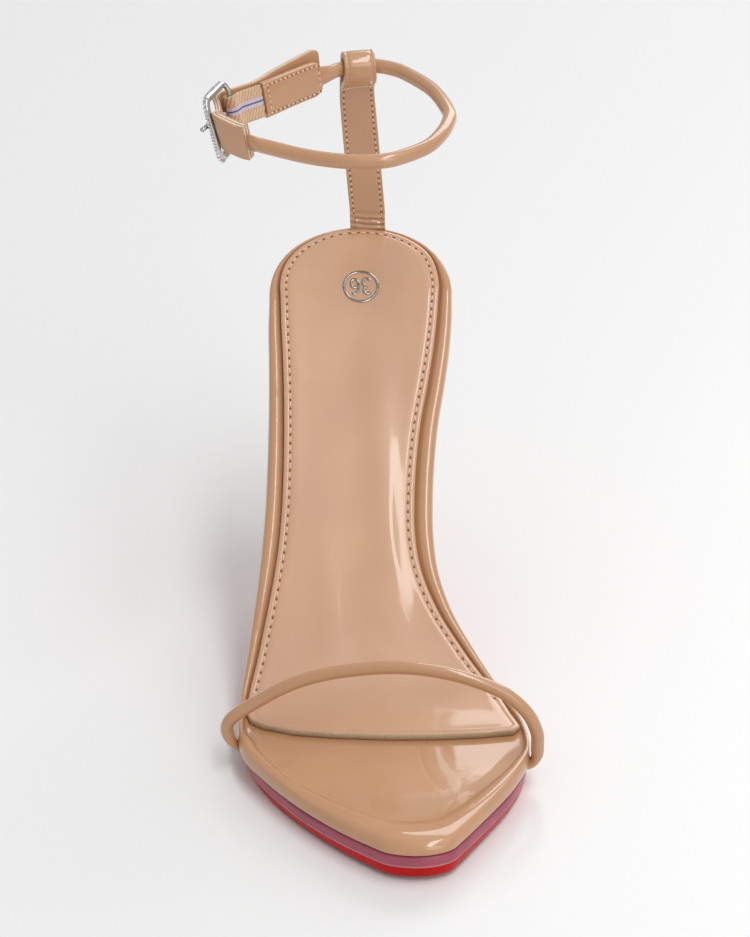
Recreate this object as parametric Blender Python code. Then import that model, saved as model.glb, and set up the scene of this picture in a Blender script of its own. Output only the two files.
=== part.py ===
"""Strappy sandal on a high slender heel, wearer's right foot.

Metres, +Z up, toe towards -Y, inner side of the foot towards +X.
The origin is on the floor under the ball of the foot.
A place on the footbed is given by three lengths: across (towards the inner side),
along (from the heel's back edge down to the toe tip, measured over the curved footbed)
and lift (out of the surface that the foot stands on).
"""

import math

import bmesh
import bpy
from mathutils import Vector

MM = 0.001
TINY = 1e-12
ROUNDING = 1e-6
COLLECTION = "strappy_heeled_sandal"
CUTTERS = "strappy_heeled_sandal_cutters"

# Last
FOOTBED_LENGTH = 240.0 * MM
BALL_WIDTH = 84.0 * MM
SEAT_HEIGHT = 106.8 * MM
TOE_SPRING = math.radians(3.0)
TOE_SPRING_POWER = 0.6

# Layers, from the foot down
SOCK_THICKNESS = 1.8 * MM
SOCK_EASE = 0.5 * MM
BOARD_THICKNESS = 2.8 * MM
RIM_RISE = 1.5 * MM
EDGE_BAND = 3.1 * MM
SOLE_THICKNESS = 6.4 * MM
TREAD_CUT = 0.35 * MM
SOLE_BEVEL = 2.2 * MM
SOLE_EASE = 0.5 * MM
SOLE_END_CLEARANCE = 1.0 * MM
GAP = 0.3 * MM

# Heel
HEEL_SEAT_LENGTH = 48.0 * MM
HEEL_INSET = 0.8 * MM
HEEL_CENTRE = 0.52
HEEL_BREAST_POWERS = (0.62, 0.85)
TIP_WIDTH = 11.0 * MM
TIP_DEPTH = 12.0 * MM
TIP_HEIGHT = 6.0 * MM
TIP_CHAMFER = 0.4 * MM

# Toe strap
TOE_CORD_RADIUS = 1.9 * MM
TOE_STRAP_RISE = 30.0 * MM
TOE_STRAP_LATERAL = 0.732
TOE_STRAP_MEDIAL = 0.807
TOE_STRAP_TUCK = 5.0 * MM
TOE_CORD_THINNING = 0.55
TOE_CORD_SPREAD = 0.25

# Ankle strap, measured on its centre line
RING_WIDTH = 67.0 * MM
RING_DEPTH = 66.0 * MM
RING_DROOP = 4.6 * MM
RING_HEIGHT = 54.6 * MM
RING_ACROSS = 4.0 * MM
RING_SETBACK = 4.2 * MM
ANKLE_CORD_RADIUS = 2.2 * MM
CORD_END_HALF_HEIGHT = 3.0 * MM
CORD_END_HALF_THICKNESS = 0.7 * MM
CORD_END_LENGTH = 6.0 * MM
CORD_FLATTENING = 5.0 * MM

# Back strap
BACK_STRAP_WIDTH = 11.0 * MM
BACK_STRAP_LOOP_WIDTH = 9.6 * MM
BACK_STRAP_TAPER = 8
BACK_STRAP_THICKNESS = 1.6 * MM
BACK_STRAP_FOOT_ACROSS = 5.6 * MM
BACK_STRAP_SINK = 2.0 * MM
BACK_STRAP_UPRIGHT = 8.0 * MM
BACK_STRAP_SLOT_HEIGHT = 8.0 * MM
LOOP_CLEARANCE = 1.1 * MM

# Patch, elastic and billet
PATCH_LENGTH = 23.5 * MM
PATCH_HEIGHT = 10.8 * MM
PATCH_THICKNESS = 3.0 * MM
PATCH_END = (0.36, 0.45)
PATCH_STEP = 2.1 * MM
ELASTIC_HEIGHT = 10.0 * MM
ELASTIC_THICKNESS = 1.0 * MM
ELASTIC_LEAD = 1.3
ELASTIC_WRAP = (math.radians(-90.0), math.radians(150.0))
BILLET_HEIGHT = 11.4 * MM
BILLET_THICKNESS = 2.0 * MM
BILLET_END_THICKNESS = 3.0 * MM
BILLET_END = (0.22, 0.76)
BILLET_LEAD = 3.2 * MM
BILLET_STEP = 2.4 * MM
BILLET_RAISE = 2.3 * MM
BILLET_PAST_PATCH = 2.0 * MM
BILLET_HOLES = 3
BILLET_HOLE_PITCH = 7.6 * MM
BILLET_HOLE_RADIUS = 0.8 * MM

# Buckle
BUCKLE_LENGTH = 17.6 * MM
BUCKLE_HEIGHT = 20.8 * MM
BUCKLE_RAIL = 2.3 * MM
BUCKLE_THICKNESS = 1.8 * MM
BUCKLE_BAR_RADIUS = 0.8 * MM
BUCKLE_CORNER = 3.0 * MM
BUCKLE_CORNER_STEPS = 3
BUCKLE_CROWN = 0.8 * MM
BUCKLE_TURN = math.radians(20.6)
BUCKLE_LEAN = math.radians(13.0)
PATCH_LEAN = math.radians(5.0)
PRONG_RADIUS = 0.75 * MM
PRONG_WRAP = (math.radians(-110.0), math.radians(-260.0))
PRONG_STEP = 1.5 * MM
PRONG_CLIMB = 1.8 * MM

# Edges of the flat straps, as a share of their thickness
BAND_EDGE = 0.3

# How finely the round forms are divided
SUBDIVISIONS = 2
HEEL_CAP_STEPS = 8
HEEL_SIDES = 36
CORD_SIDES = 10
PROFILE_STEPS = 480
STEEPNESS_RANGE = (0.1, 1.8)
STEEPNESS_ROUNDS = 40
SHARP_EDGE = math.radians(40.0)
SPLINE_STEP = 3.0 * MM
WRAP_STEP = math.radians(30.0)

# Side profile: share of the footbed's length, slope in degrees for the steepness of this last
PROFILE_COLUMNS = ("along", "slope")
PROFILE = (
    (0.000, 17.0),
    (0.125, 27.0),
    (0.250, 36.0),
    (0.375, 43.0),
    (0.479, 46.0),
    (0.5625, 48.0),
    (0.625, 40.0),
    (0.675, 14.0),
    (0.7167, 0.0),
)
BALL_ALONG = 0.7167

# Outline of the rim: along as a share of the footbed's length,
# outer and inner side as shares of half the ball width
OUTLINE_COLUMNS = ("along", "lateral", "medial")
OUTLINE = (
    (0.117, -0.636, 0.722),
    (0.167, -0.655, 0.698),
    (0.217, -0.664, 0.657),
    (0.267, -0.676, 0.602),
    (0.317, -0.693, 0.540),
    (0.367, -0.714, 0.495),
    (0.417, -0.740, 0.464),
    (0.467, -0.776, 0.450),
    (0.517, -0.821, 0.471),
    (0.567, -0.874, 0.552),
    (0.617, -0.931, 0.690),
    (0.667, -0.988, 0.838),
    (0.717, -1.012, 0.943),
    (0.767, -0.983, 0.986),
    (0.813, -0.862, 0.960),
    (0.863, -0.695, 0.842),
    (0.904, -0.531, 0.704),
    (0.942, -0.352, 0.560),
    (0.971, -0.190, 0.446),
    (0.992, -0.043, 0.345),
)
TOE_TIP_ACROSS = 0.171
TOE_SPINE_ALONG = 0.838

# Width of the rim between its outer edge and the sock or the toe well, as a share of RIM_WIDTH
RIM_WIDTH = 5.0 * MM
RIM_COLUMNS = ("along", "lateral", "medial")
RIM = (
    (0.000, 0.26, 0.26),
    (0.050, 0.40, 0.40),
    (0.100, 0.60, 0.72),
    (0.200, 0.80, 0.92),
    (0.450, 0.96, 1.08),
    (0.600, 0.66, 0.72),
    (0.680, 0.46, 0.50),
    (0.722, 0.46, 0.38),
    (0.750, 0.90, 0.34),
    (0.790, 1.05, 0.36),
    (0.830, 0.95, 0.80),
    (0.870, 1.20, 1.15),
    (0.930, 1.65, 1.45),
    (0.970, 2.15, 2.00),
    (1.000, 2.80, 2.80),
)

# Section of the footbed from its underside up over the rim and down to the well:
# inset, inset as a share of the rim's width, height above the board's underside or,
# where that is none, depth below the rim's top
FOOTBED_LEVELS = (
    (2.4 * MM, 0.0, 0.0, None),
    (0.7 * MM, 0.0, 0.0, None),
    (0.0, 0.0, 0.9 * MM, None),
    (0.0, 0.0, 2.2 * MM, None),
    (0.0, 0.16, None, 0.45 * MM),
    (0.0, 0.45, None, 0.0),
    (0.0, 0.80, None, 0.35 * MM),
    (0.0, 1.00, None, RIM_RISE),
)

# Front edge of the sock, from the inner to the outer corner: along as a share of the
# footbed's length, across as a share of half the ball width
SOCK_FRONT_COLUMNS = ("along", "across")
SOCK_SIDES_END = 0.695
SOCK_FRONT = (
    (0.7250, 0.885),
    (0.7530, 0.930),
    (0.7620, 0.885),
    (0.7650, 0.650),
    (0.7640, 0.350),
    (0.7590, 0.019),
    (0.7490, -0.330),
    (0.7370, -0.620),
    (0.7200, -0.830),
    (0.7080, -0.915),
)

# Outsole: its thickness as a share of SOLE_THICKNESS, the insets of its side and of its tread
# from the rim's outline as shares of SOLE_BEVEL
SOLE_COLUMNS = ("along", "thickness", "side", "tread")
SOLE = (
    (0.150, 0.42, 0.12, 0.40),
    (0.450, 0.42, 0.12, 0.50),
    (0.600, 0.72, 0.12, 0.90),
    (0.660, 1.00, 0.30, 1.50),
    (0.720, 1.00, 0.85, 2.30),
    (0.820, 1.00, 0.40, 0.90),
    (0.900, 1.00, 0.10, 0.70),
    (1.000, 1.00, 0.12, 0.50),
)

# Heel below its cup: height as a share of the heel's, half width as a share of the seat's,
# back and breast as shares of the seat's length from its back edge
HEEL_COLUMNS = ("height", "width", "back", "breast")
HEEL = (
    (0.62, 0.44, 0.09, 0.62),
    (0.45, 0.31, 0.15, 0.52),
    (0.28, 0.235, 0.19, 0.46),
    (0.14, 0.205, 0.21, 0.44),
)
HEEL_TIP_BACK = 0.215
HEEL_CUP_STEPS = 5

# Back strap at the ankle cord, in radii of its loop: where it comes up behind the cord,
# and the flap that is folded forward and lies against the riser
RISER_FALLS = (3.0, 1.2)
FLAP_COLUMNS = ("behind", "fall")
FLAP = (
    (-0.80, 0.62),
    (-0.36, 1.08),
    (0.12, 1.40),
    (0.46, 1.72),
)

# Toe strap seen from the front: across as a share of its half width,
# rise as a share of TOE_STRAP_RISE
TOE_STRAP_COLUMNS = ("across", "rise")
TOE_STRAP = (
    (-1.008, 0.110),
    (-1.020, 0.190),
    (-1.006, 0.270),
    (-0.965, 0.345),
    (-0.895, 0.430),
    (-0.783, 0.548),
    (-0.661, 0.669),
    (-0.517, 0.781),
    (-0.328, 0.881),
    (-0.093, 0.954),
    (0.093, 0.984),
    (0.278, 0.981),
    (0.509, 0.926),
    (0.740, 0.805),
    (0.855, 0.692),
    (0.950, 0.532),
    (1.000, 0.345),
    (1.004, 0.223),
    (1.002, 0.110),
)

# Ankle strap seen from above, from the patch round the inner side to the billet:
# across as a share of RING_WIDTH, forward as a share of RING_DEPTH, from the back loop
RING_COLUMNS = ("across", "forward")
RING = (
    (-0.445, 0.324),
    (-0.315, 0.205),
    (-0.216, 0.122),
    (-0.151, 0.072),
    (-0.085, 0.022),
    (0.000, 0.000),
    (0.076, 0.002),
    (0.146, 0.036),
    (0.215, 0.108),
    (0.321, 0.300),
    (0.373, 0.540),
    (0.355, 0.674),
    (0.307, 0.797),
    (0.239, 0.897),
    (0.103, 0.989),
    (-0.011, 1.004),
    (-0.124, 0.986),
    (-0.272, 0.924),
    (-0.421, 0.826),
    (-0.522, 0.752),
)
BUCKLE_ACROSS = -0.579
BUCKLE_FORWARD = 0.423

# Billet and prong through the buckle: along as a share of the buckle's length from its rear
# bar, then shares of the heights at which each passes under, over or along the bars
BILLET_COLUMNS = ("along", "under", "over")
BILLET = (
    (1.00, 1.00, 0.00),
    (0.80, 0.75, 0.00),
    (0.50, 0.00, 0.10),
    (0.25, 0.00, 0.62),
    (0.05, 0.00, 1.00),
    (-0.13, 0.00, 0.95),
)
PRONG_COLUMNS = ("along", "bar", "over", "rest")
PRONG = (
    (0.13, 1.15, 0.00, 0.00),
    (0.24, 0.00, 0.92, 0.00),
    (0.36, 0.00, 0.98, 0.00),
    (0.60, 0.00, 0.50, 0.50),
    (1.00, 0.00, 0.00, 1.00),
    (1.17, 0.00, 0.00, 0.95),
)

# Colour, roughness and metallic value of each material
MATERIALS = {
    "patent_leather": ((0.60, 0.36, 0.21), 0.12, 0.0),
    "lining_leather": ((0.68, 0.42, 0.30), 0.35, 0.0),
    "sole_leather": ((0.55, 0.01, 0.02), 0.22, 0.0),
    "top_piece_rubber": ((0.45, 0.27, 0.17), 0.55, 0.0),
    "elastic_webbing": ((0.62, 0.45, 0.32), 0.85, 0.0),
    "silver_metal": ((0.75, 0.75, 0.74), 0.25, 1.0),
}


def smooth_value(knots, values, at):
    """Monotone cubic through a table's column, level past its ends."""
    if at <= knots[0]:
        return values[0]
    if at >= knots[-1]:
        return values[-1]
    spans = [b - a for a, b in zip(knots, knots[1:])]
    rates = [(b - a) / span for a, b, span in zip(values, values[1:], spans)]
    index = max(i for i, knot in enumerate(knots[:-1]) if knot <= at)

    def tangent(i):
        if i == 0:
            return rates[0]
        if i == len(rates):
            return rates[-1]
        before, after = rates[i - 1], rates[i]
        if before * after <= 0.0:
            return 0.0
        return 2.0 * before * after / (before + after)

    span = spans[index]
    t = (at - knots[index]) / span
    start, end = values[index], values[index + 1]
    rise_start = (t ** 3 - 2.0 * t ** 2 + t) * span * tangent(index)
    rise_end = (t ** 3 - t ** 2) * span * tangent(index + 1)
    ease = 3.0 * t ** 2 - 2.0 * t ** 3
    return start + (end - start) * ease + rise_start + rise_end


def column(table, columns, name):
    place = columns.index(name)
    return [row[place] for row in table]


def rows(table, columns):
    """The table's rows, each value under its column's name."""
    return [dict(zip(columns, row)) for row in table]


def table_value(table, columns, name, along):
    """A named column of a table at a share of the footbed's length."""
    return smooth_value(column(table, columns, "along"), column(table, columns, name), along)


def curve_point(before, start, end, after, t):
    """Point at share t between start and end on the smooth curve through four points."""
    return (
        start * (1.0 - 2.5 * t ** 2 + 1.5 * t ** 3)
        + end * (0.5 * t + 2.0 * t ** 2 - 1.5 * t ** 3)
        + before * (-0.5 * t + t ** 2 - 0.5 * t ** 3)
        + after * (0.5 * t ** 3 - 0.5 * t ** 2)
    )


def spline(points, step):
    """Points about a step apart on the smooth curve through the given points."""
    ends = [points[0] * 2.0 - points[1]] + list(points) + [points[-1] * 2.0 - points[-2]]
    curve = []
    for before, start, end, after in zip(ends, ends[1:], ends[2:], ends[3:]):
        pieces = max(1, round((end - start).length / step))
        for piece in range(pieces):
            curve.append(curve_point(before, start, end, after, piece / pieces))
    curve.append(points[-1].copy())
    return curve


def distances(points):
    """Length of the path up to each point."""
    total = [0.0]
    for start, end in zip(points, points[1:]):
        total.append(total[-1] + (end - start).length)
    return total


def path_between(points, start, end, step):
    """The stretch of a path between two distances along it, cut at even steps."""
    lengths = distances(points)
    pieces = max(1, round((end - start) / step))
    stretch = []
    for piece in range(pieces + 1):
        wanted = start + (end - start) * piece / pieces
        index = max(i for i, length in enumerate(lengths[:-1]) if length <= max(wanted, 0.0))
        share = (wanted - lengths[index]) / (lengths[index + 1] - lengths[index])
        stretch.append(points[index].lerp(points[index + 1], share))
    return stretch


class Last:
    """The footbed's side profile: slope by share of length, summed up to heights."""

    def __init__(self):
        self.sheet = FOOTBED_LENGTH / PROFILE_STEPS
        self.ball_height = SOCK_THICKNESS + BOARD_THICKNESS + SOLE_THICKNESS + 2.0 * GAP - TREAD_CUT
        low, high = STEEPNESS_RANGE
        for _ in range(STEEPNESS_ROUNDS):
            middle = (low + high) / 2.0
            if self.rise(middle) < SEAT_HEIGHT - self.ball_height:
                low = middle
            else:
                high = middle
        self.steepness = low
        self.back, self.height = self.walk(low)

    def slope(self, share, steepness):
        if share >= BALL_ALONG:
            past = (share - BALL_ALONG) / (1.0 - BALL_ALONG)
            return -TOE_SPRING * past ** TOE_SPRING_POWER
        degrees = table_value(PROFILE, PROFILE_COLUMNS, "slope", share)
        return math.radians(degrees) * steepness

    def rise(self, steepness):
        return sum(
            math.sin(self.slope((i + 0.5) / PROFILE_STEPS, steepness)) * self.sheet
            for i in range(round(PROFILE_STEPS * BALL_ALONG))
        )

    def walk(self, steepness):
        """Y and Z of the surface at each step of its length, with the ball at Y zero."""
        back, height = [0.0], [0.0]
        for i in range(PROFILE_STEPS):
            slope = self.slope((i + 0.5) / PROFILE_STEPS, steepness)
            back.append(back[-1] - math.cos(slope) * self.sheet)
            height.append(height[-1] - math.sin(slope) * self.sheet)
        ball = round(PROFILE_STEPS * BALL_ALONG)
        return [y - back[ball] for y in back], [z - height[ball] + self.ball_height for z in height]

    def place(self, across, along, lift=0.0):
        """World place of a point given across, along and lift."""
        steps = along / self.sheet
        index = min(max(int(math.floor(steps)), 0), PROFILE_STEPS - 1)
        share = steps - index
        slope = self.slope(min(max(steps / PROFILE_STEPS, 0.0), 1.0), self.steepness)
        back = self.back[index] + (self.back[index + 1] - self.back[index]) * share
        height = self.height[index] + (self.height[index + 1] - self.height[index]) * share
        return Vector((across, back - lift * math.sin(slope), height + lift * math.cos(slope)))


LAST = Last()
HALF_BALL = BALL_WIDTH / 2.0
FOOTBED_UNDERSIDE = -(SOCK_THICKNESS + GAP + BOARD_THICKNESS)
SOLE_TOP = FOOTBED_UNDERSIDE - GAP
WELL_FLOOR = -(SOCK_THICKNESS + GAP)
RIM_TOP = WELL_FLOOR + RIM_RISE


def spine(along):
    """Middle of the outline, held inside the round heel and the pointed toe."""
    heel = OUTLINE[0][0] * FOOTBED_LENGTH
    toe = TOE_SPINE_ALONG * FOOTBED_LENGTH
    held = min(max(along, heel), toe)
    share = held / FOOTBED_LENGTH
    lateral = table_value(OUTLINE, OUTLINE_COLUMNS, "lateral", share)
    medial = table_value(OUTLINE, OUTLINE_COLUMNS, "medial", share)
    return Vector(((lateral + medial) / 2.0 * HALF_BALL, held))


def side_points(side):
    """One side of the rim's outline, from beside the heel's back to beside the toe tip."""
    sign = 1.0 if side == "medial" else -1.0
    cap = OUTLINE[0][0] * FOOTBED_LENGTH
    edge = table_value(OUTLINE, OUTLINE_COLUMNS, side, OUTLINE[0][0]) * HALF_BALL
    centre = spine(cap).x
    points = []
    for step in range(1, HEEL_CAP_STEPS):
        angle = math.radians(90.0) * step / HEEL_CAP_STEPS
        reach = abs(edge - centre) * math.sin(angle)
        points.append(Vector((centre + sign * reach, cap * (1.0 - math.cos(angle)))))
    edges = [
        Vector((row[side] * HALF_BALL, row["along"] * FOOTBED_LENGTH))
        for row in rows(OUTLINE, OUTLINE_COLUMNS)
    ]
    tip = Vector((TOE_TIP_ACROSS * HALF_BALL, FOOTBED_LENGTH))
    mirrored = Vector((2.0 * tip.x - edges[-1].x, edges[-1].y))
    chain = [points[-1]] + edges + [tip, mirrored]
    for before, start, end, after in zip(chain, chain[1:], chain[2:], chain[3:]):
        for piece in range(SUBDIVISIONS):
            points.append(curve_point(before, start, end, after, piece / SUBDIVISIONS))
    return points


def outline():
    """The rim's outline as a closed ring: heel tip, inner side, toe tip, outer side."""
    heel = Vector((spine(0.0).x, 0.0))
    tip = Vector((TOE_TIP_ACROSS * HALF_BALL, FOOTBED_LENGTH))
    return [heel] + side_points("medial") + [tip] + side_points("lateral")[::-1]


def inset(point, distance):
    """A point of an outline moved towards the outline's spine."""
    return point + (spine(point.y) - point).normalized() * distance


def rim_width(point):
    """Width of the rim at a point of the outline."""
    side = "medial" if point.x > spine(point.y).x else "lateral"
    return table_value(RIM, RIM_COLUMNS, side, point.y / FOOTBED_LENGTH) * RIM_WIDTH


def mesh_object(name, vertices, faces, material):
    """A closed mesh with outward faces, linked to the model's collection."""
    mesh = bpy.data.meshes.new(name)
    mesh.from_pydata([tuple(vertex) for vertex in vertices], [], faces)
    shape = bmesh.new()
    shape.from_mesh(mesh)
    bmesh.ops.recalc_face_normals(shape, faces=shape.faces)
    shape.to_mesh(mesh)
    shape.free()
    mesh.shade_smooth()
    mesh.set_sharp_from_angle(angle=SHARP_EDGE)
    thing = bpy.data.objects.new(name, mesh)
    if material is None:
        thing.hide_render = True
        thing.display_type = "WIRE"
        bpy.data.collections[CUTTERS].objects.link(thing)
    else:
        mesh.materials.append(bpy.data.materials[material])
        bpy.data.collections[COLLECTION].objects.link(thing)
    return thing


def bridge(offset, count, tipped):
    """Faces that close a ring by joining its two sides across the shoe."""
    first = 1 if tipped else 0
    pairs = []
    low, high = first, count - 1
    while low < high:
        pairs.append((offset + low, offset + high))
        low += 1
        high -= 1
    faces = [(a[0], b[0], b[1], a[1]) for a, b in zip(pairs, pairs[1:])]
    if tipped:
        faces.insert(0, (offset, pairs[0][0], pairs[0][1]))
    if low == high:
        faces.append((pairs[-1][0], offset + low, pairs[-1][1]))
    return faces


def plate(name, rings, material, tipped=True):
    """A solid between stacked closed rings of world points, bridged across at both ends."""
    count = len(rings[0])
    vertices = [vertex for ring in rings for vertex in ring]
    faces = []
    for level in range(len(rings) - 1):
        low = level * count
        high = low + count
        for i in range(count):
            after = (i + 1) % count
            faces.append((low + i, low + after, high + after, high + i))
    faces += [face[::-1] for face in bridge(0, count, tipped)]
    faces += bridge((len(rings) - 1) * count, count, tipped)
    return mesh_object(name, vertices, faces, material)


def loft(name, rings, material, closed=False):
    """A solid through like rings, capped at both ends or joined end to end."""
    count = len(rings[0])
    vertices = [vertex for ring in rings for vertex in ring]
    faces = []
    spans = len(rings) if closed else len(rings) - 1
    for level in range(spans):
        low = level * count
        high = (level + 1) % len(rings) * count
        for i in range(count):
            after = (i + 1) % count
            faces.append((low + i, low + after, high + after, high + i))
    if not closed:
        faces.append(tuple(range(count))[::-1])
        faces.append(tuple(range((len(rings) - 1) * count, len(rings) * count)))
    return mesh_object(name, vertices, faces, material)


def box(name, centre, axes, sides):
    """A square cutter, its sides along the given axes."""
    shape = bmesh.new()
    bmesh.ops.create_cube(shape, size=1.0)
    for vertex in shape.verts:
        corner = vertex.co.copy()
        vertex.co = centre + sum(
            (axis * side * share for axis, side, share in zip(axes, sides, corner)), Vector()
        )
    shape.normal_update()
    bmesh.ops.recalc_face_normals(shape, faces=shape.faces)
    mesh = bpy.data.meshes.new(name)
    shape.to_mesh(mesh)
    shape.free()
    thing = bpy.data.objects.new(name, mesh)
    thing.hide_render = True
    thing.display_type = "WIRE"
    bpy.data.collections[CUTTERS].objects.link(thing)
    return thing


def lengthened(path, spare):
    """A path made longer at both ends."""
    first = path[0] + (path[0] - path[1]).normalized() * spare
    last = path[-1] + (path[-1] - path[-2]).normalized() * spare
    return [first] + path[1:-1] + [last]


def tangents(path, closed=False):
    count = len(path)
    found = []
    for i in range(count):
        before = path[i - 1] if closed or i > 0 else path[i]
        after = path[(i + 1) % count] if closed or i < count - 1 else path[i]
        found.append((after - before).normalized())
    return found


def oval_ring(centre, up, out, half_height, half_thickness):
    """Round cord section, flattened where the two halves differ."""
    return [
        centre
        + up * half_height * math.cos(math.tau * i / CORD_SIDES)
        + out * half_thickness * math.sin(math.tau * i / CORD_SIDES)
        for i in range(CORD_SIDES)
    ]


def band_ring(centre, up, out, height, thickness):
    """Flat strap section with its four edges broken."""
    edge = BAND_EDGE * thickness
    tall, thick = height / 2.0, thickness / 2.0
    corners = (
        (tall, thick - edge), (tall - edge, thick), (edge - tall, thick), (-tall, thick - edge),
        (-tall, edge - thick), (edge - tall, -thick), (tall - edge, -thick), (tall, edge - thick),
    )
    return [centre + up * high + out * wide for high, wide in corners]


def cut(thing, cutter):
    modifier = thing.modifiers.new("cut " + cutter.name, "BOOLEAN")
    modifier.operation = "DIFFERENCE"
    modifier.solver = "EXACT"
    modifier.object = cutter


def make_footbed():
    """Board wrapped in patent leather: a soft raised rim round a shallow well."""
    rings = []
    for depth, share, above_board, below_rim in FOOTBED_LEVELS:
        lift = RIM_TOP - below_rim if above_board is None else FOOTBED_UNDERSIDE + above_board
        ring = [inset(point, depth + share * rim_width(point)) for point in outline()]
        rings.append([LAST.place(point.x, point.y, lift) for point in ring])
    return plate("footbed", rings, "patent_leather")


def sock_outline():
    """Outline of the sock and, for each point, the way to its middle."""
    sides_end = SOCK_SIDES_END * FOOTBED_LENGTH
    ring = []
    for point in outline():
        if point.y > sides_end:
            continue
        edge = inset(point, rim_width(point) + GAP)
        ring.append((edge, (spine(point.y) - point).normalized()))
    front = []
    for row in rows(SOCK_FRONT, SOCK_FRONT_COLUMNS):
        point = Vector((row["across"] * HALF_BALL, row["along"] * FOOTBED_LENGTH))
        front.append((point, (Vector((0.0, sides_end)) - point).normalized()))
    medial = sum(1 for point, _ in ring if point.x > spine(point.y).x)
    return ring[:medial + 1] + front + ring[medial + 1:]


def make_insole_sock():
    """Padded leather sock glued into the footbed's well, its cut front edge left open."""
    levels = ((0.0, -SOCK_THICKNESS), (0.0, -SOCK_EASE), (SOCK_EASE, 0.0))
    rings = [
        [LAST.place(*(point + way * depth), lift) for point, way in sock_outline()]
        for depth, lift in levels
    ]
    return plate("insole_sock", rings, "lining_leather")


def sole_value(name, along):
    """A length of the outsole at a place along the footbed."""
    unit = SOLE_THICKNESS if name == "thickness" else SOLE_BEVEL
    return table_value(SOLE, SOLE_COLUMNS, name, along / FOOTBED_LENGTH) * unit


def side_edge(side, along):
    """Across of the rim's outer edge on one side."""
    share = along / FOOTBED_LENGTH
    return table_value(OUTLINE, OUTLINE_COLUMNS, side, share) * HALF_BALL


def make_outsole():
    """Thin leather sole from the heel's breast to the toe, bevelled under its edge band."""
    start = HEEL_SEAT_LENGTH + GAP
    ends = [Vector((side_edge(side, start), start)) for side in ("medial", "lateral")]
    base = [point for point in outline() if point.y > start + SOLE_END_CLEARANCE]
    base = [ends[0]] + base + [ends[1]]
    rings = []
    for level in ("top", "shoulder", "band", "chamfer", "tread"):
        ring = []
        for point in base:
            thickness = sole_value("thickness", point.y)
            side, tread = sole_value("side", point.y), sole_value("tread", point.y)
            band = min(EDGE_BAND, 0.5 * thickness)
            depth, reach = {
                "top": (0.0, side + SOLE_EASE),
                "shoulder": (SOLE_EASE, side),
                "band": (band, side),
                "chamfer": ((band + thickness) / 2.0, side + 0.5 * (tread - side)),
                "tread": (thickness, tread),
            }[level]
            way = spine(point.y) - point
            if point in ends:
                way.y = 0.0
            moved = point + way.normalized() * reach
            vertex = LAST.place(moved.x, moved.y, SOLE_TOP - depth)
            vertex.z = max(vertex.z, 0.0)
            ring.append(vertex)
        rings.append(ring)
    return plate("outsole", rings[::-1], "sole_leather", tipped=False)


def heel_section(width, back, breast, height):
    """Level section of the heel: round at its back, flatter across its breast."""
    heel_back = LAST.place(0.0, 0.0).y
    rear = heel_back - back * HEEL_SEAT_LENGTH
    front = heel_back - breast * HEEL_SEAT_LENGTH
    middle = (rear + front) / 2.0
    depth = (rear - front) / 2.0
    ring = []
    for i in range(HEEL_SIDES):
        angle = math.tau * (i + 0.5) / HEEL_SIDES
        side, away = math.sin(angle), math.cos(angle)
        flatness, fullness = HEEL_BREAST_POWERS if away < 0.0 else (1.0, 1.0)
        reach = math.copysign(abs(away) ** flatness, away)
        wide = math.copysign(abs(side) ** fullness, side)
        ring.append(Vector((spine(0.0).x + wide * width, middle + reach * depth, height)))
    return ring


def heel_seat_ring(lift):
    """Top ring of the heel, on the footbed's curved underside, closed by the breast line."""
    edge = [point for point in outline() if point.y <= HEEL_SEAT_LENGTH]
    corners = [
        Vector((side_edge(side, HEEL_SEAT_LENGTH), HEEL_SEAT_LENGTH))
        for side in ("medial", "lateral")
    ]
    medial = [point for point in edge[1:] if point.x > spine(point.y).x]
    lateral = [point for point in edge[1:] if point.x <= spine(point.y).x]
    inner = [inset(point, HEEL_INSET) for point in [edge[0]] + medial + corners + lateral]
    centre = Vector((spine(0.0).x, HEEL_CENTRE * HEEL_SEAT_LENGTH))
    ring = []
    for i in range(HEEL_SIDES):
        angle = math.tau * (i + 0.5) / HEEL_SIDES
        ray = Vector((math.sin(angle), -math.cos(angle)))
        reach = 0.0
        for start, end in zip(inner, inner[1:] + inner[:1]):
            side = end - start
            turn = ray.x * side.y - ray.y * side.x
            if abs(turn) < TINY:
                continue
            offset = start - centre
            far = (offset.x * side.y - offset.y * side.x) / turn
            share_on = (offset.x * ray.y - offset.y * ray.x) / turn
            if far > 0.0 and -ROUNDING <= share_on <= 1.0 + ROUNDING:
                reach = max(reach, far)
        point = centre + ray * reach
        ring.append(LAST.place(point.x, point.y, lift))
    return ring


def heel_rings():
    """Sections of the heel, from a cup under the seat down to the top piece."""
    full = LAST.place(0.0, 0.0, SOLE_TOP).z
    half_seat = (OUTLINE[0][2] - OUTLINE[0][1]) / 2.0 * HALF_BALL
    foot = TIP_HEIGHT + GAP
    lower = []
    for row in rows(HEEL, HEEL_COLUMNS):
        width, height = row["width"] * half_seat, row["height"] * full
        lower.append(heel_section(width, row["back"], row["breast"], height))
    lower.append(tip_section(foot, 0.0))
    top = heel_seat_ring(SOLE_TOP)
    seat = heel_seat_ring(SOLE_TOP - sole_value("thickness", HEEL_SEAT_LENGTH) - GAP)
    rings = [top, seat]
    for step in range(1, HEEL_CUP_STEPS):
        t = step / HEEL_CUP_STEPS
        ease = 3.0 * t ** 2 - 2.0 * t ** 3
        ring = []
        for top, bottom in zip(seat, lower[0]):
            point = top.lerp(bottom, ease)
            point.z = top.z + (bottom.z - top.z) * t
            ring.append(point)
        rings.append(ring)
    return rings + lower


def make_heel():
    return plate("heel", heel_rings()[::-1], "patent_leather", tipped=False)


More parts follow.
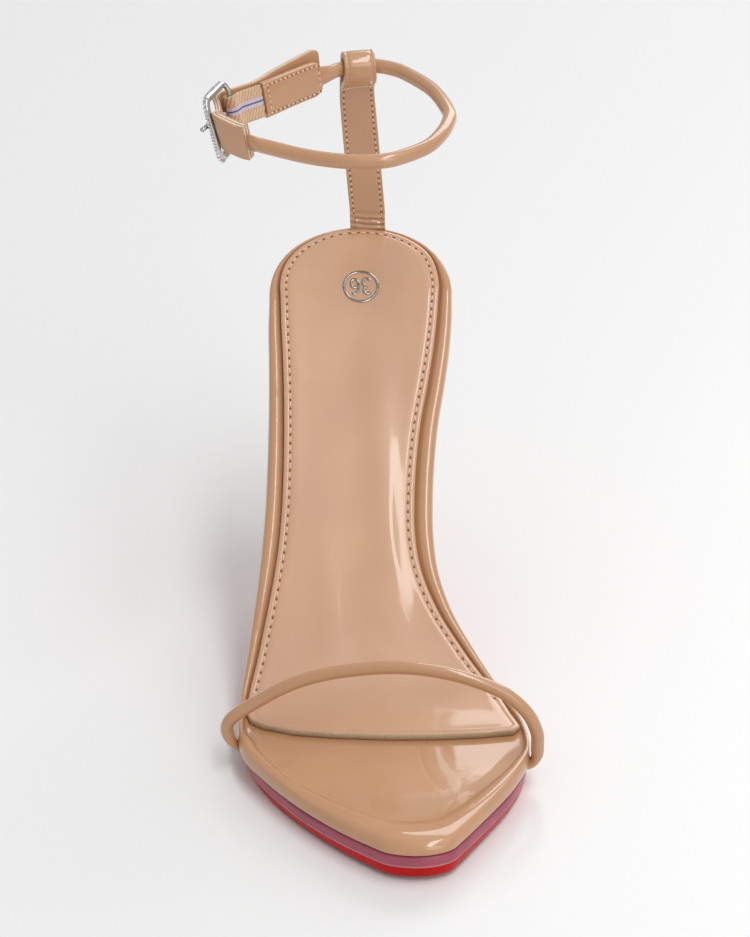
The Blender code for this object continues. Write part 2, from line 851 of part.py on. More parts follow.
def tip_section(height, inset_by):
    """Foot of the heel, a D with its straight side forward."""
    heel_back = LAST.place(0.0, 0.0).y
    middle = heel_back - HEEL_TIP_BACK * HEEL_SEAT_LENGTH - TIP_DEPTH / 2.0
    ring = heel_section(TIP_WIDTH / 2.0 - inset_by, 0.0, 1.0, height)
    low = min(point.y for point in ring)
    high = max(point.y for point in ring)
    for point in ring:
        share = (point.y - low) / (high - low) * 2.0 - 1.0
        point.y = middle + share * (TIP_DEPTH / 2.0 - inset_by)
    return ring


def make_heel_tip():
    """Rubber top piece under the heel."""
    rings = [
        tip_section(0.0, TIP_CHAMFER),
        tip_section(TIP_CHAMFER, 0.0),
        tip_section(TIP_HEIGHT, 0.0),
    ]
    return plate("heel_tip", rings, "top_piece_rubber", tipped=False)


def toe_strap_path():
    """Centre line of the toe strap, tucked in under the rim at both ends."""
    clear = TOE_CORD_RADIUS + GAP
    seam = FOOTBED_UNDERSIDE - GAP / 2.0
    feet = []
    ends = (("lateral", TOE_STRAP_LATERAL, -1.0), ("medial", TOE_STRAP_MEDIAL, 1.0))
    for side, share, sign in ends:
        along = share * FOOTBED_LENGTH
        feet.append((side_edge(side, along), along, sign))
    left, right = [LAST.place(edge + sign * clear, along, seam) for edge, along, sign in feet]
    middle = (left + right) / 2.0
    half = (right - left) / 2.0
    arch = []
    for row in rows(TOE_STRAP, TOE_STRAP_COLUMNS):
        point = middle + half * row["across"]
        point.z += row["rise"] * TOE_STRAP_RISE
        arch.append(point)
    tucks = []
    for (edge, along, sign), foot in zip(feet, (left, right)):
        deep = LAST.place(edge - sign * TOE_STRAP_TUCK, along, seam)
        near = LAST.place(edge, along, seam)
        elbow = foot + Vector((-sign * GAP, 0.0, TOE_CORD_RADIUS))
        tucks.append([deep, near, elbow])
    return spline(tucks[0] + arch + tucks[1][::-1], SPLINE_STEP)


def toe_cord_rings(spare=0.0):
    """Sections of the toe strap's cord, flat where it is tucked in."""
    path = lengthened(toe_strap_path(), spare)
    lengths = distances(path)
    forward = Vector((0.0, -1.0, 0.0))
    rings = []
    for point, way, length in zip(path, tangents(path), lengths):
        from_end = min(length, lengths[-1] - length)
        knots = (0.0, TOE_STRAP_TUCK, 2.0 * TOE_STRAP_TUCK)
        flat = smooth_value(knots, (1.0, 0.75, 0.0), from_end)
        thin = TOE_CORD_RADIUS * (1.0 - TOE_CORD_THINNING * flat)
        wide = TOE_CORD_RADIUS * (1.0 + TOE_CORD_SPREAD * flat)
        side = (forward - way * forward.dot(way)).normalized()
        rings.append(oval_ring(point, side, way.cross(side), wide + spare, thin + spare))
    return rings


def ring_height(back):
    """Height of the ankle strap's centre line above the floor at a place along Y."""
    loop = loop_centre()
    return loop.z - RING_DROOP * (loop.y - back) / RING_DEPTH


def loop_centre():
    """Centre of the ankle cord inside the back strap's loop."""
    heel = LAST.place(0.0, 0.0)
    return Vector((RING_ACROSS, heel.y - RING_SETBACK, heel.z + RING_HEIGHT))


def ring_place(across, forward):
    loop = loop_centre()
    back = loop.y - forward * RING_DEPTH
    return Vector((loop.x + across * RING_WIDTH, back, ring_height(back)))


def ring_path():
    """Centre line of the ankle strap from the patch's front end to the billet."""
    table = rows(RING, RING_COLUMNS)
    return spline([ring_place(row["across"], row["forward"]) for row in table], SPLINE_STEP)


def buckle_place(along, out, up=0.0):
    """A point in the buckle's own frame: from its rear bar forward, outward and upward."""
    bar = ring_place(BUCKLE_ACROSS, BUCKLE_FORWARD)
    forward, outward, upward = buckle_axes()
    return bar + forward * along + outward * out + upward * up


def buckle_axes():
    forward = Vector((-math.sin(BUCKLE_TURN), -math.cos(BUCKLE_TURN), 0.0))
    level = Vector((-math.cos(BUCKLE_TURN), math.sin(BUCKLE_TURN), 0.0))
    outward = level * math.cos(BUCKLE_LEAN) - Vector((0.0, 0.0, math.sin(BUCKLE_LEAN)))
    upward = level * math.sin(BUCKLE_LEAN) + Vector((0.0, 0.0, math.cos(BUCKLE_LEAN)))
    return forward, outward, upward


def lean_at(point):
    """How far the strap tips outward, growing from the patch to the buckle."""
    patch = ring_place(*RING[2])
    bar = buckle_place(0.0, 0.0)
    share = (patch.y - point.y) / (patch.y - bar.y)
    return PATCH_LEAN + (BUCKLE_LEAN - PATCH_LEAN) * min(max(share, 0.0), 1.0)


def strap_axes(point, way):
    """Up and out of a strap that runs level round the ankle."""
    level = Vector((way.y, -way.x, 0.0)).normalized()
    if level.x * (point.x - RING_ACROSS) + level.y * (point.y - ring_place(0.0, 0.5).y) < 0.0:
        level = -level
    lean = lean_at(point)
    up = level * math.sin(lean) + Vector((0.0, 0.0, math.cos(lean)))
    return up, level * math.cos(lean) - Vector((0.0, 0.0, math.sin(lean)))


def cord_end_shares(from_end):
    """How flat the ankle cord is at a distance from its end."""
    flat_to = CORD_END_LENGTH
    return 1.0 - smooth_value((0.0, flat_to, flat_to + CORD_FLATTENING), (0.0, 0.0, 1.0), from_end)


def ankle_path():
    """The cord's centre line, from inside the patch to inside the billet."""
    ring = ring_path()
    start = PATCH_LENGTH - CORD_END_LENGTH
    stretch = path_between(ring, start, distances(ring)[-1], SPLINE_STEP)
    inside = path_between(billet_path(), CORD_END_LENGTH / 4.0, CORD_END_LENGTH, SPLINE_STEP)
    return stretch[:-1] + inside


def ankle_cord_rings(spare=0.0):
    """Sections of the ankle strap's round cord, flat inside the patch and the billet."""
    path = lengthened(ankle_path(), spare)
    lengths = distances(path)
    rings = []
    for point, way, length in zip(path, tangents(path), lengths):
        flat = cord_end_shares(min(length, lengths[-1] - length))
        high = ANKLE_CORD_RADIUS + (CORD_END_HALF_HEIGHT - ANKLE_CORD_RADIUS) * flat
        thin = ANKLE_CORD_RADIUS + (CORD_END_HALF_THICKNESS - ANKLE_CORD_RADIUS) * flat
        up, out = strap_axes(point, way)
        rings.append(oval_ring(point, up, out, high + spare, thin + spare))
    return rings


def loop_axes():
    """Along the ankle cord and to the rear of it, level, where the back strap holds it."""
    place = RING.index((0.0, 0.0))
    along = ring_place(*RING[place + 1]) - ring_place(*RING[place - 1])
    along.z = 0.0
    along.normalize()
    return along, Vector((-along.y, along.x, 0.0))


def back_strap_foot():
    """Middle of the back strap's lower end, in its slot behind the sock."""
    foot = LAST.place(0.0, BACK_STRAP_THICKNESS, -BACK_STRAP_SINK)
    return Vector((BACK_STRAP_FOOT_ACROSS, foot.y, foot.z))


def back_strap_path():
    """Middle of the flat strap up the back of the heel, folded forward over the ankle cord."""
    loop = loop_centre()
    rear = loop_axes()[1]
    up = Vector((0.0, 0.0, 1.0))
    radius = ANKLE_CORD_RADIUS + LOOP_CLEARANCE + BACK_STRAP_THICKNESS / 2.0
    foot = back_strap_foot()
    riser = [foot, foot + up * BACK_STRAP_UPRIGHT]
    for fall in RISER_FALLS:
        riser.append(loop + rear * radius - up * fall * radius)
    path = path_between(riser, 0.0, distances(riser)[-1], 2.0 * SPLINE_STEP)
    steps = round(math.pi / WRAP_STEP)
    for step in range(steps + 1):
        angle = math.pi * step / steps
        path.append(loop + rear * radius * math.cos(angle) + up * radius * math.sin(angle))
    for row in rows(FLAP, FLAP_COLUMNS):
        path.append(loop + rear * row["behind"] * radius - up * row["fall"] * radius)
    return path


def back_strap_rise(point):
    """Share of the way from the back strap's foot up to the ankle cord."""
    foot, loop = back_strap_foot(), loop_centre()
    return min(max((point.z - foot.z) / (loop.z - foot.z), 0.0), 1.0)


def back_strap_width(point):
    """Width of the back strap, narrower where it holds the ankle cord."""
    share = back_strap_rise(point) ** BACK_STRAP_TAPER
    return BACK_STRAP_WIDTH + (BACK_STRAP_LOOP_WIDTH - BACK_STRAP_WIDTH) * share


def back_strap_axes(point, way):
    """Across and out of the back strap, turning with the ankle cord as it rises."""
    across = Vector((1.0, 0.0, 0.0)).lerp(loop_axes()[0], back_strap_rise(point)).normalized()
    across = (across - way * across.dot(way)).normalized()
    return across, way.cross(across)


def make_back_strap():
    path = back_strap_path()
    rings = []
    for point, way in zip(path, tangents(path)):
        axes = back_strap_axes(point, way)
        rings.append(band_ring(point, *axes, back_strap_width(point), BACK_STRAP_THICKNESS))
    return loft("back_strap", rings, "patent_leather")


def back_strap_slot():
    """Clearance of the back strap's foot in the rim and the sock."""
    tall = BACK_STRAP_SLOT_HEIGHT
    centre = back_strap_foot() + Vector((0.0, 0.0, tall / 2.0 - GAP))
    axes = (Vector((1.0, 0.0, 0.0)), Vector((0.0, 1.0, 0.0)), Vector((0.0, 0.0, 1.0)))
    sides = (BACK_STRAP_WIDTH + 2.0 * GAP, BACK_STRAP_THICKNESS + 2.0 * GAP, tall)
    return box("back_strap_slot", centre, axes, sides)


def rounded_end(from_end, reach, narrowest):
    """Height of a strap near its round end, all lengths as shares of its full height."""
    t = min(from_end / reach, 1.0)
    return narrowest + (1.0 - narrowest) * math.sqrt(1.0 - (1.0 - t) ** 2)


def make_strap_patch():
    """Stitched patch over the back end of the ankle cord, round at its rear end."""
    path = path_between(ring_path(), 0.0, PATCH_LENGTH, PATCH_STEP)
    lengths = distances(path)
    rings = []
    for point, way, length in zip(path, tangents(path), lengths):
        left = lengths[-1] - length
        height = PATCH_HEIGHT * rounded_end(left / PATCH_HEIGHT, *PATCH_END)
        up, out = strap_axes(point, way)
        rings.append(band_ring(point, up, out, height, PATCH_THICKNESS))
    return loft("strap_patch", rings, "patent_leather")


def elastic_path():
    """From the patch to the buckle's rear bar, round the bar and back."""
    radius = BUCKLE_BAR_RADIUS + GAP + ELASTIC_THICKNESS / 2.0
    ring = ring_path()
    way = (ring[0] - ring[1]).normalized()
    start = ring[0] + way * GAP
    lead = buckle_place(-ELASTIC_LEAD * radius, -ELASTIC_LEAD * radius)
    path = [start, start.lerp(lead, 0.5), lead]
    return path + bar_wrap(radius, *ELASTIC_WRAP)


def bar_wrap(radius, first, last):
    """Path round the buckle's rear bar between two angles."""
    steps = max(1, round(abs(last - first) / WRAP_STEP))
    angles = [first + (last - first) * step / steps for step in range(steps + 1)]
    return [buckle_place(radius * math.cos(angle), radius * math.sin(angle)) for angle in angles]


def make_elastic():
    """Ribbed elastic that carries the buckle."""
    path = elastic_path()
    rings = []
    upward = buckle_axes()[2]
    for point, way in zip(path, tangents(path)):
        out = way.cross(upward).normalized()
        up = out.cross(way).normalized()
        rings.append(band_ring(point, up, out, ELASTIC_HEIGHT, ELASTIC_THICKNESS))
    return loft("elastic", rings, "elastic_webbing")


def elastic_slot():
    """Window in the elastic's loop where the prong turns on the bar."""
    reach = BUCKLE_BAR_RADIUS + 2.0 * (GAP + ELASTIC_THICKNESS + PRONG_RADIUS)
    tall = 2.0 * (PRONG_RADIUS + 2.0 * GAP)
    sides = (2.0 * reach, 2.0 * reach, tall)
    return box("elastic_slot", buckle_place(0.0, 0.0), buckle_axes(), sides)


def bar_clearance():
    """How far the billet's inner side lies from the rear bar's middle, over the prong."""
    return BUCKLE_BAR_RADIUS + 2.0 * PRONG_RADIUS + 2.5 * GAP


def billet_path():
    """From the ankle cord's end under the buckle's front bar, over its rear bar and back."""
    half = BILLET_THICKNESS / 2.0
    under = -(BUCKLE_THICKNESS / 2.0 + 2.0 * GAP + half)
    over = bar_clearance() + half
    aside = PATCH_THICKNESS / 2.0 + 2.0 * GAP + half
    ring = ring_path()
    points = [ring[-1]]
    joint_way = (ring[-1] - ring[-2]).normalized()
    points.append(ring[-1] + joint_way * BILLET_LEAD)
    for row in rows(BILLET, BILLET_COLUMNS):
        out = row["under"] * under + row["over"] * over
        points.append(buckle_place(row["along"] * BUCKLE_LENGTH, out))
    stretch = path_between(ring, 0.0, PATCH_LENGTH + BILLET_PAST_PATCH, PATCH_LENGTH / 3.0)
    for index, (point, way) in enumerate(zip(stretch, tangents(stretch))):
        share = index / (len(stretch) - 1)
        up, out = strap_axes(point, way)
        points.append(point + out * (aside + share * GAP) + up * BILLET_RAISE * share)
    return spline(points, BILLET_STEP)


def make_billet():
    """Two-layer tab from the ankle cord through the buckle, its tail outside the patch."""
    path = billet_path()
    lengths = distances(path)
    rings = []
    for point, way, length in zip(path, tangents(path), lengths):
        left = lengths[-1] - length
        height = BILLET_HEIGHT * rounded_end(left / BILLET_HEIGHT, *BILLET_END)
        thick = smooth_value(
            (0.0, CORD_END_LENGTH, 2.0 * CORD_END_LENGTH),
            (BILLET_END_THICKNESS, BILLET_END_THICKNESS, BILLET_THICKNESS),
            length,
        )
        up, out = strap_axes(point, way)
        rings.append(band_ring(point, up, out, height, thick))
    return loft("billet", rings, "patent_leather")


def billet_hole(index):
    """Punch for one spare hole in the billet's tail."""
    path = billet_path()
    length = distances(path)[-1]
    place = length - (index + 1) * BILLET_HOLE_PITCH
    point, after = path_between(path, place, place + BILLET_STEP, BILLET_STEP)
    up, out = strap_axes(point, (after - point).normalized())
    forward = up.cross(out)
    reach = BILLET_THICKNESS
    rings = [
        oval_ring(point + out * depth, up, forward, BILLET_HOLE_RADIUS, BILLET_HOLE_RADIUS)
        for depth in (-reach, reach)
    ]
    return loft("billet_hole_%d" % (index + 1), rings, None)


def buckle_loop():
    """Along and up of the frame's centre line, a rectangle with round corners."""
    half_up = (BUCKLE_HEIGHT - BUCKLE_RAIL) / 2.0 - BUCKLE_CORNER
    near, far = BUCKLE_CORNER, BUCKLE_LENGTH - BUCKLE_CORNER
    corners = ((near, -half_up, 270.0), (near, half_up, 180.0), (far, half_up, 90.0), (far, -half_up, 0.0))
    points = []
    for along, up, start in corners:
        for step in range(BUCKLE_CORNER_STEPS + 1):
            angle = math.radians(start - 90.0 * step / BUCKLE_CORNER_STEPS)
            reach = BUCKLE_CORNER * math.cos(angle), BUCKLE_CORNER * math.sin(angle)
            points.append((along + reach[0], up + reach[1]))
    return points


def buckle_rings():
    """Sections of the cast frame with a thin rear bar, slightly crowned along its length."""
    points = buckle_loop()
    outward = buckle_axes()[1]
    path = []
    for along, up in points:
        share = along / BUCKLE_LENGTH
        crown = BUCKLE_CROWN * 4.0 * share * (1.0 - share)
        path.append(buckle_place(along, crown, up))
    rings = []
    for (along, up), point, way in zip(points, path, tangents(path, closed=True)):
        slim = smooth_value((0.0, BUCKLE_CORNER, 2.0 * BUCKLE_CORNER), (1.0, 0.35, 0.0), along)
        rail = BUCKLE_RAIL + (2.0 * BUCKLE_BAR_RADIUS - BUCKLE_RAIL) * slim
        thick = BUCKLE_THICKNESS + (2.0 * BUCKLE_BAR_RADIUS - BUCKLE_THICKNESS) * slim
        side = way.cross(outward).normalized()
        rings.append(oval_ring(point, side, outward, rail / 2.0, thick / 2.0))
    return rings


def prong_path():
    """Round the rear bar, out through the billet's hole and over the front bar."""
    radius = BUCKLE_BAR_RADIUS + GAP + PRONG_RADIUS
    rest = BUCKLE_THICKNESS / 2.0 + GAP + PRONG_RADIUS
    over = bar_clearance() + BILLET_THICKNESS
    points = bar_wrap(radius, *PRONG_WRAP)
    for row in rows(PRONG, PRONG_COLUMNS):
        out = row["bar"] * radius + row["over"] * over + row["rest"] * rest
        points.append(buckle_place(row["along"] * BUCKLE_LENGTH, out, PRONG_CLIMB * row["along"]))
    return spline(points, PRONG_STEP)


def prong_rings(spare=0.0):
    path = lengthened(prong_path(), spare)
    upward = buckle_axes()[2]
    rings = []
    for point, way in zip(path, tangents(path)):
        out = way.cross(upward).normalized()
        rings.append(oval_ring(point, upward, out, PRONG_RADIUS + spare, PRONG_RADIUS + spare))
    return rings


def make_materials():
    for name, (colour, roughness, metallic) in MATERIALS.items():
        material = bpy.data.materials.new(name)
        material.use_nodes = True
        shader = material.node_tree.nodes["Principled BSDF"]
        shader.inputs["Base Color"].default_value = (*colour, 1.0)
        shader.inputs["Roughness"].default_value = roughness
        shader.inputs["Metallic"].default_value = metallic
        material.diffuse_color = (*colour, 1.0)


def clear_scene():
    for thing in list(bpy.data.objects):
        bpy.data.objects.remove(thing, do_unlink=True)
    for name in (COLLECTION, CUTTERS):
        collection = bpy.data.collections.new(name)
        bpy.context.scene.collection.children.link(collection)


def main():
    clear_scene()
    make_materials()
    footbed = make_footbed()
    sock = make_insole_sock()
    outsole = make_outsole()
    make_heel()
    make_heel_tip()
    loft("toe_strap", toe_cord_rings(), "patent_leather")
    tuck = loft("toe_strap_clearance", toe_cord_rings(GAP), None)
    cut(footbed, tuck)
    cut(outsole, tuck)
    make_back_strap()
    slot = back_strap_slot()
    cut(footbed, slot)
    cut(sock, slot)
    loft("ankle_strap", ankle_cord_rings(), "patent_leather")
    socket = loft("ankle_strap_clearance", ankle_cord_rings(GAP), None)
    patch = make_strap_patch()
    cut(patch, socket)
    elastic = make_elastic()
    cut(elastic, elastic_slot())
    billet = make_billet()
    cut(billet, socket)
    for index in range(BILLET_HOLES):
        cut(billet, billet_hole(index))
    loft("buckle_frame", buckle_rings(), "silver_metal", closed=True)
    loft("buckle_prong", prong_rings(), "silver_metal")
    cut(billet, loft("prong_clearance", prong_rings(GAP), None))


main()
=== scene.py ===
"""Looks of the strappy heeled sandal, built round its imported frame.

Every shape is worked out again from the sizes and tables of the last, in metres, in the
frame's own axes: toe towards -Y, inner side towards +X, floor at Z zero.
"""

from math import copysign, cos, exp, pi, radians, sin, sqrt, tau

import bmesh
import bpy
from bpy.props import FloatProperty, FloatVectorProperty, IntProperty, PointerProperty
from mathutils import Matrix, Vector


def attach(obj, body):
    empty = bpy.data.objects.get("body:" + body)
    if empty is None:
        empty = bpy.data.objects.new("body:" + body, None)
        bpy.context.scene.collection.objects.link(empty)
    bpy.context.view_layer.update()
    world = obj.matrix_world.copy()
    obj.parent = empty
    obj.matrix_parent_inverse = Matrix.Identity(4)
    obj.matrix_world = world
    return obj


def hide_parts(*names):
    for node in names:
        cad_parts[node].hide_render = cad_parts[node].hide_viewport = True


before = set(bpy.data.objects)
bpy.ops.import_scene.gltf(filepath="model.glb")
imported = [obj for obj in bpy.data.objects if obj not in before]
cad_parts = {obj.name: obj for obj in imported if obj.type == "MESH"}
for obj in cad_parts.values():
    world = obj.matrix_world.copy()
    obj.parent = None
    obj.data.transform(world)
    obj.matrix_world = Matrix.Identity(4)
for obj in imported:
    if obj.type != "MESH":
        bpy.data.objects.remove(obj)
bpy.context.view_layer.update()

bl_info = {
    "name": "Strappy heeled sandal",
    "version": (1, 0, 0),
    "blender": (4, 5, 0),
    "location": "View3D > Sidebar > Sandal",
    "description": "Builds the sandal's leather, stitches, buckle and studio round its frame",
    "category": "Object",
}

MM = 0.001
TINY = 1e-12
RIGHT_ANGLE = 90.0
ROUNDING = 1e-6
# Last
FOOTBED_LENGTH = 240.0 * MM
BALL_WIDTH = 84.0 * MM
SEAT_HEIGHT = 106.8 * MM
TOE_SPRING = radians(3.0)
TOE_SPRING_POWER = 0.6
# Layers, from the foot down
SOCK_THICKNESS = 1.8 * MM
BOARD_THICKNESS = 2.8 * MM
EDGE_BAND = 3.1 * MM
SOLE_THICKNESS = 6.4 * MM
TREAD_CUT = 0.35 * MM
SOLE_BEVEL = 2.2 * MM
SOLE_END_CLEARANCE = 1.0 * MM
GAP = 0.3 * MM
# Heel
HEEL_SEAT_LENGTH = 48.0 * MM
HEEL_INSET = 0.8 * MM
HEEL_CENTRE = 0.52
HEEL_BREAST_POWERS = (0.62, 0.85)
TIP_WIDTH = 11.0 * MM
TIP_DEPTH = 12.0 * MM
TIP_HEIGHT = 6.0 * MM
TIP_CHAMFER = 0.4 * MM
# Toe strap
TOE_CORD_RADIUS = 1.9 * MM
TOE_STRAP_RISE = 30.0 * MM
TOE_STRAP_LATERAL = 0.732
TOE_STRAP_MEDIAL = 0.807
TOE_STRAP_TUCK = 5.0 * MM
TOE_CORD_THINNING = 0.55
TOE_CORD_SPREAD = 0.25
TOE_CORD_FLATNESS = (1.0, 0.75, 0.0)
# Ankle strap, measured on its centre line
RING_WIDTH = 67.0 * MM
RING_DEPTH = 66.0 * MM
RING_DROOP = 4.6 * MM
RING_HEIGHT = 54.6 * MM
RING_ACROSS = 4.0 * MM
RING_SETBACK = 4.2 * MM
ANKLE_CORD_RADIUS = 2.2 * MM
CORD_END_HALF_HEIGHT = 3.0 * MM
CORD_END_HALF_THICKNESS = 0.7 * MM
CORD_END_LENGTH = 6.0 * MM
CORD_FLATTENING = 5.0 * MM
# Back strap
BACK_STRAP_WIDTH = 11.0 * MM
BACK_STRAP_LOOP_WIDTH = 9.6 * MM
BACK_STRAP_TAPER = 8
BACK_STRAP_THICKNESS = 1.6 * MM
BACK_STRAP_FOOT_ACROSS = 5.6 * MM
BACK_STRAP_SINK = 2.0 * MM
BACK_STRAP_UPRIGHT = 8.0 * MM
LOOP_CLEARANCE = 1.1 * MM
# Patch, elastic and billet
PATCH_LENGTH = 23.5 * MM
PATCH_HEIGHT = 10.8 * MM
PATCH_THICKNESS = 3.0 * MM
PATCH_END = (0.36, 0.45)
ELASTIC_HEIGHT = 10.0 * MM
ELASTIC_THICKNESS = 1.0 * MM
ELASTIC_LEAD = 1.3
ELASTIC_WRAP = (radians(-90.0), radians(150.0))
BILLET_HEIGHT = 11.4 * MM
BILLET_THICKNESS = 2.0 * MM
BILLET_END_THICKNESS = 3.0 * MM
BILLET_END = (0.22, 0.76)
BILLET_LEAD = 3.2 * MM
BILLET_RAISE = 2.3 * MM
BILLET_PAST_PATCH = 2.0 * MM
# Buckle
BUCKLE_LENGTH = 17.6 * MM
BUCKLE_HEIGHT = 20.8 * MM
BUCKLE_RAIL = 2.3 * MM
BUCKLE_THICKNESS = 1.8 * MM
BUCKLE_BAR_RADIUS = 0.8 * MM
BUCKLE_CORNER = 3.0 * MM
BUCKLE_CROWN = 0.8 * MM
BUCKLE_SLIMNESS = (1.0, 0.35, 0.0)
BUCKLE_TURN = radians(20.6)
BUCKLE_LEAN = radians(13.0)
PATCH_LEAN = radians(5.0)
PRONG_RADIUS = 0.75 * MM
PRONG_WRAP = (radians(-110.0), radians(-260.0))
PRONG_CLIMB = 1.8 * MM
PROFILE_STEPS = 480
STEEPNESS_RANGE = (0.1, 1.8)
STEEPNESS_ROUNDS = 40
# Side profile: share of the footbed's length, slope in degrees for the steepness of this last
PROFILE = (
    (0.000, 17.0), (0.125, 27.0), (0.250, 36.0), (0.375, 43.0), (0.479, 46.0), (0.5625, 48.0),
    (0.625, 40.0), (0.675, 14.0), (0.7167, 0.0),
)
SLOPE_COLUMN = 1
BALL_ALONG = 0.7167
SIDE_COLUMNS = {"lateral": 1, "medial": 2}
# Outline of the rim: along as a share of the footbed's length,
# outer and inner side as shares of half the ball width
OUTLINE = (
    (0.117, -0.636, 0.722), (0.167, -0.655, 0.698), (0.217, -0.664, 0.657), (0.267, -0.676, 0.602),
    (0.317, -0.693, 0.540), (0.367, -0.714, 0.495), (0.417, -0.740, 0.464), (0.467, -0.776, 0.450),
    (0.517, -0.821, 0.471), (0.567, -0.874, 0.552), (0.617, -0.931, 0.690), (0.667, -0.988, 0.838),
    (0.717, -1.012, 0.943), (0.767, -0.983, 0.986), (0.813, -0.862, 0.960), (0.863, -0.695, 0.842),
    (0.904, -0.531, 0.704), (0.942, -0.352, 0.560), (0.971, -0.190, 0.446), (0.992, -0.043, 0.345),
)
TOE_TIP_ACROSS = 0.171
TOE_SPINE_ALONG = 0.838
# Width of the rim between its outer edge and the sock or the toe well, as a share of RIM_WIDTH:
# along, outer and inner side
RIM_WIDTH = 5.0 * MM
RIM = (
    (0.000, 0.26, 0.26), (0.050, 0.40, 0.40), (0.100, 0.60, 0.72), (0.200, 0.80, 0.92),
    (0.450, 0.96, 1.08), (0.600, 0.66, 0.72), (0.680, 0.46, 0.50), (0.722, 0.46, 0.38),
    (0.750, 0.90, 0.34), (0.790, 1.05, 0.36), (0.830, 0.95, 0.80), (0.870, 1.20, 1.15),
    (0.930, 1.65, 1.45), (0.970, 2.15, 2.00), (1.000, 2.80, 2.80),
)
# Front edge of the sock, from the inner to the outer corner: along as a share of the
# footbed's length, across as a share of half the ball width
SOCK_SIDES_END = 0.695
SOCK_FRONT = (
    (0.7250, 0.885), (0.7530, 0.930), (0.7620, 0.885), (0.7650, 0.650), (0.7640, 0.350),
    (0.7590, 0.019), (0.7490, -0.330), (0.7370, -0.620), (0.7200, -0.830), (0.7080, -0.915),
)
SOLE_COLUMNS = {"thickness": 1, "side": 2, "tread": 3}
# Outsole: along, its thickness as a share of SOLE_THICKNESS, then the insets of its side and
# of its tread from the rim's outline as shares of SOLE_BEVEL
SOLE = (
    (0.150, 0.42, 0.12, 0.40), (0.450, 0.42, 0.12, 0.50), (0.600, 0.72, 0.12, 0.90),
    (0.660, 1.00, 0.30, 1.50), (0.720, 1.00, 0.85, 2.30), (0.820, 1.00, 0.40, 0.90),
    (0.900, 1.00, 0.10, 0.70), (1.000, 1.00, 0.12, 0.50),
)
# Heel below its cup: height as a share of the heel's, half width as a share of the seat's,
# back and breast as shares of the seat's length from its back edge
HEEL = (
    (0.62, 0.44, 0.09, 0.62), (0.45, 0.31, 0.15, 0.52), (0.28, 0.235, 0.19, 0.46),
    (0.14, 0.205, 0.21, 0.44),
)
HEEL_TIP_BACK = 0.215
# Back strap at the ankle cord, in radii of its loop: where it comes up behind the cord,
# and the flap that is folded forward and lies against the riser
RISER_FALLS = (3.0, 1.2)
FLAP = (
    (-0.80, 0.62), (-0.36, 1.08), (0.12, 1.40), (0.46, 1.72),
)
# Toe strap seen from the front: across as a share of its half width,
# rise as a share of TOE_STRAP_RISE
TOE_STRAP = (
    (-1.008, 0.110), (-1.020, 0.190), (-1.006, 0.270), (-0.965, 0.345), (-0.895, 0.430),
    (-0.783, 0.548), (-0.661, 0.669), (-0.517, 0.781), (-0.328, 0.881), (-0.093, 0.954),
    (0.093, 0.984), (0.278, 0.981), (0.509, 0.926), (0.740, 0.805), (0.855, 0.692), (0.950, 0.532),
    (1.000, 0.345), (1.004, 0.223), (1.002, 0.110),
)
# Ankle strap seen from above, from the patch round the inner side to the billet:
# across as a share of RING_WIDTH, forward as a share of RING_DEPTH, from the back loop
RING = (
    (-0.445, 0.324), (-0.315, 0.205), (-0.216, 0.122), (-0.151, 0.072), (-0.085, 0.022),
    (0.000, 0.000), (0.076, 0.002), (0.146, 0.036), (0.215, 0.108), (0.321, 0.300), (0.373, 0.540),
    (0.355, 0.674), (0.307, 0.797), (0.239, 0.897), (0.103, 0.989), (-0.011, 1.004),
    (-0.124, 0.986), (-0.272, 0.924), (-0.421, 0.826), (-0.522, 0.752),
)
BUCKLE_ACROSS = -0.579
BUCKLE_FORWARD = 0.423
# Billet and prong through the buckle: along as a share of the buckle's length from its rear
# bar, then shares of the heights at which each passes under, over or along the bars
BILLET = (
    (1.00, 1.00, 0.00), (0.80, 0.75, 0.00), (0.50, 0.00, 0.10), (0.25, 0.00, 0.62),
    (0.05, 0.00, 1.00), (-0.13, 0.00, 0.95),
)
PRONG = (
    (0.13, 1.15, 0.00, 0.00), (0.24, 0.00, 0.92, 0.00), (0.36, 0.00, 0.98, 0.00),
    (0.60, 0.00, 0.50, 0.50), (1.00, 0.00, 0.00, 1.00), (1.17, 0.00, 0.00, 0.95),
)


def smooth_value(knots, values, at):
    """Monotone cubic through a table's column, level past its ends."""
    if at <= knots[0]:
        return values[0]
    if at >= knots[-1]:
        return values[-1]
    spans = [b - a for a, b in zip(knots, knots[1:])]
    rates = [(b - a) / span for a, b, span in zip(values, values[1:], spans)]
    index = max(i for i, knot in enumerate(knots[:-1]) if knot <= at)

    def tangent(i):
        if i == 0:
            return rates[0]
        if i == len(rates):
            return rates[-1]
        before, after = rates[i - 1], rates[i]
        if before * after <= 0.0:
            return 0.0
        return 2.0 * before * after / (before + after)

    span = spans[index]
    t = (at - knots[index]) / span
    start, end = values[index], values[index + 1]
    rise_start = (t ** 3 - 2.0 * t ** 2 + t) * span * tangent(index)
    rise_end = (t ** 3 - t ** 2) * span * tangent(index + 1)
    ease = 3.0 * t ** 2 - 2.0 * t ** 3
    return start + (end - start) * ease + rise_start + rise_end


def table_value(table, place, along):
    """Column at a place in a table's rows, at a share of the footbed's length."""
    return smooth_value([row[0] for row in table], [row[place] for row in table], along)


def curve_point(before, start, end, after, t):
    """Point at share t between start and end on the smooth curve through four points."""
    return (
        start * (1.0 - 2.5 * t ** 2 + 1.5 * t ** 3)
        + end * (0.5 * t + 2.0 * t ** 2 - 1.5 * t ** 3)
        + before * (-0.5 * t + t ** 2 - 0.5 * t ** 3)
        + after * (0.5 * t ** 3 - 0.5 * t ** 2)
    )


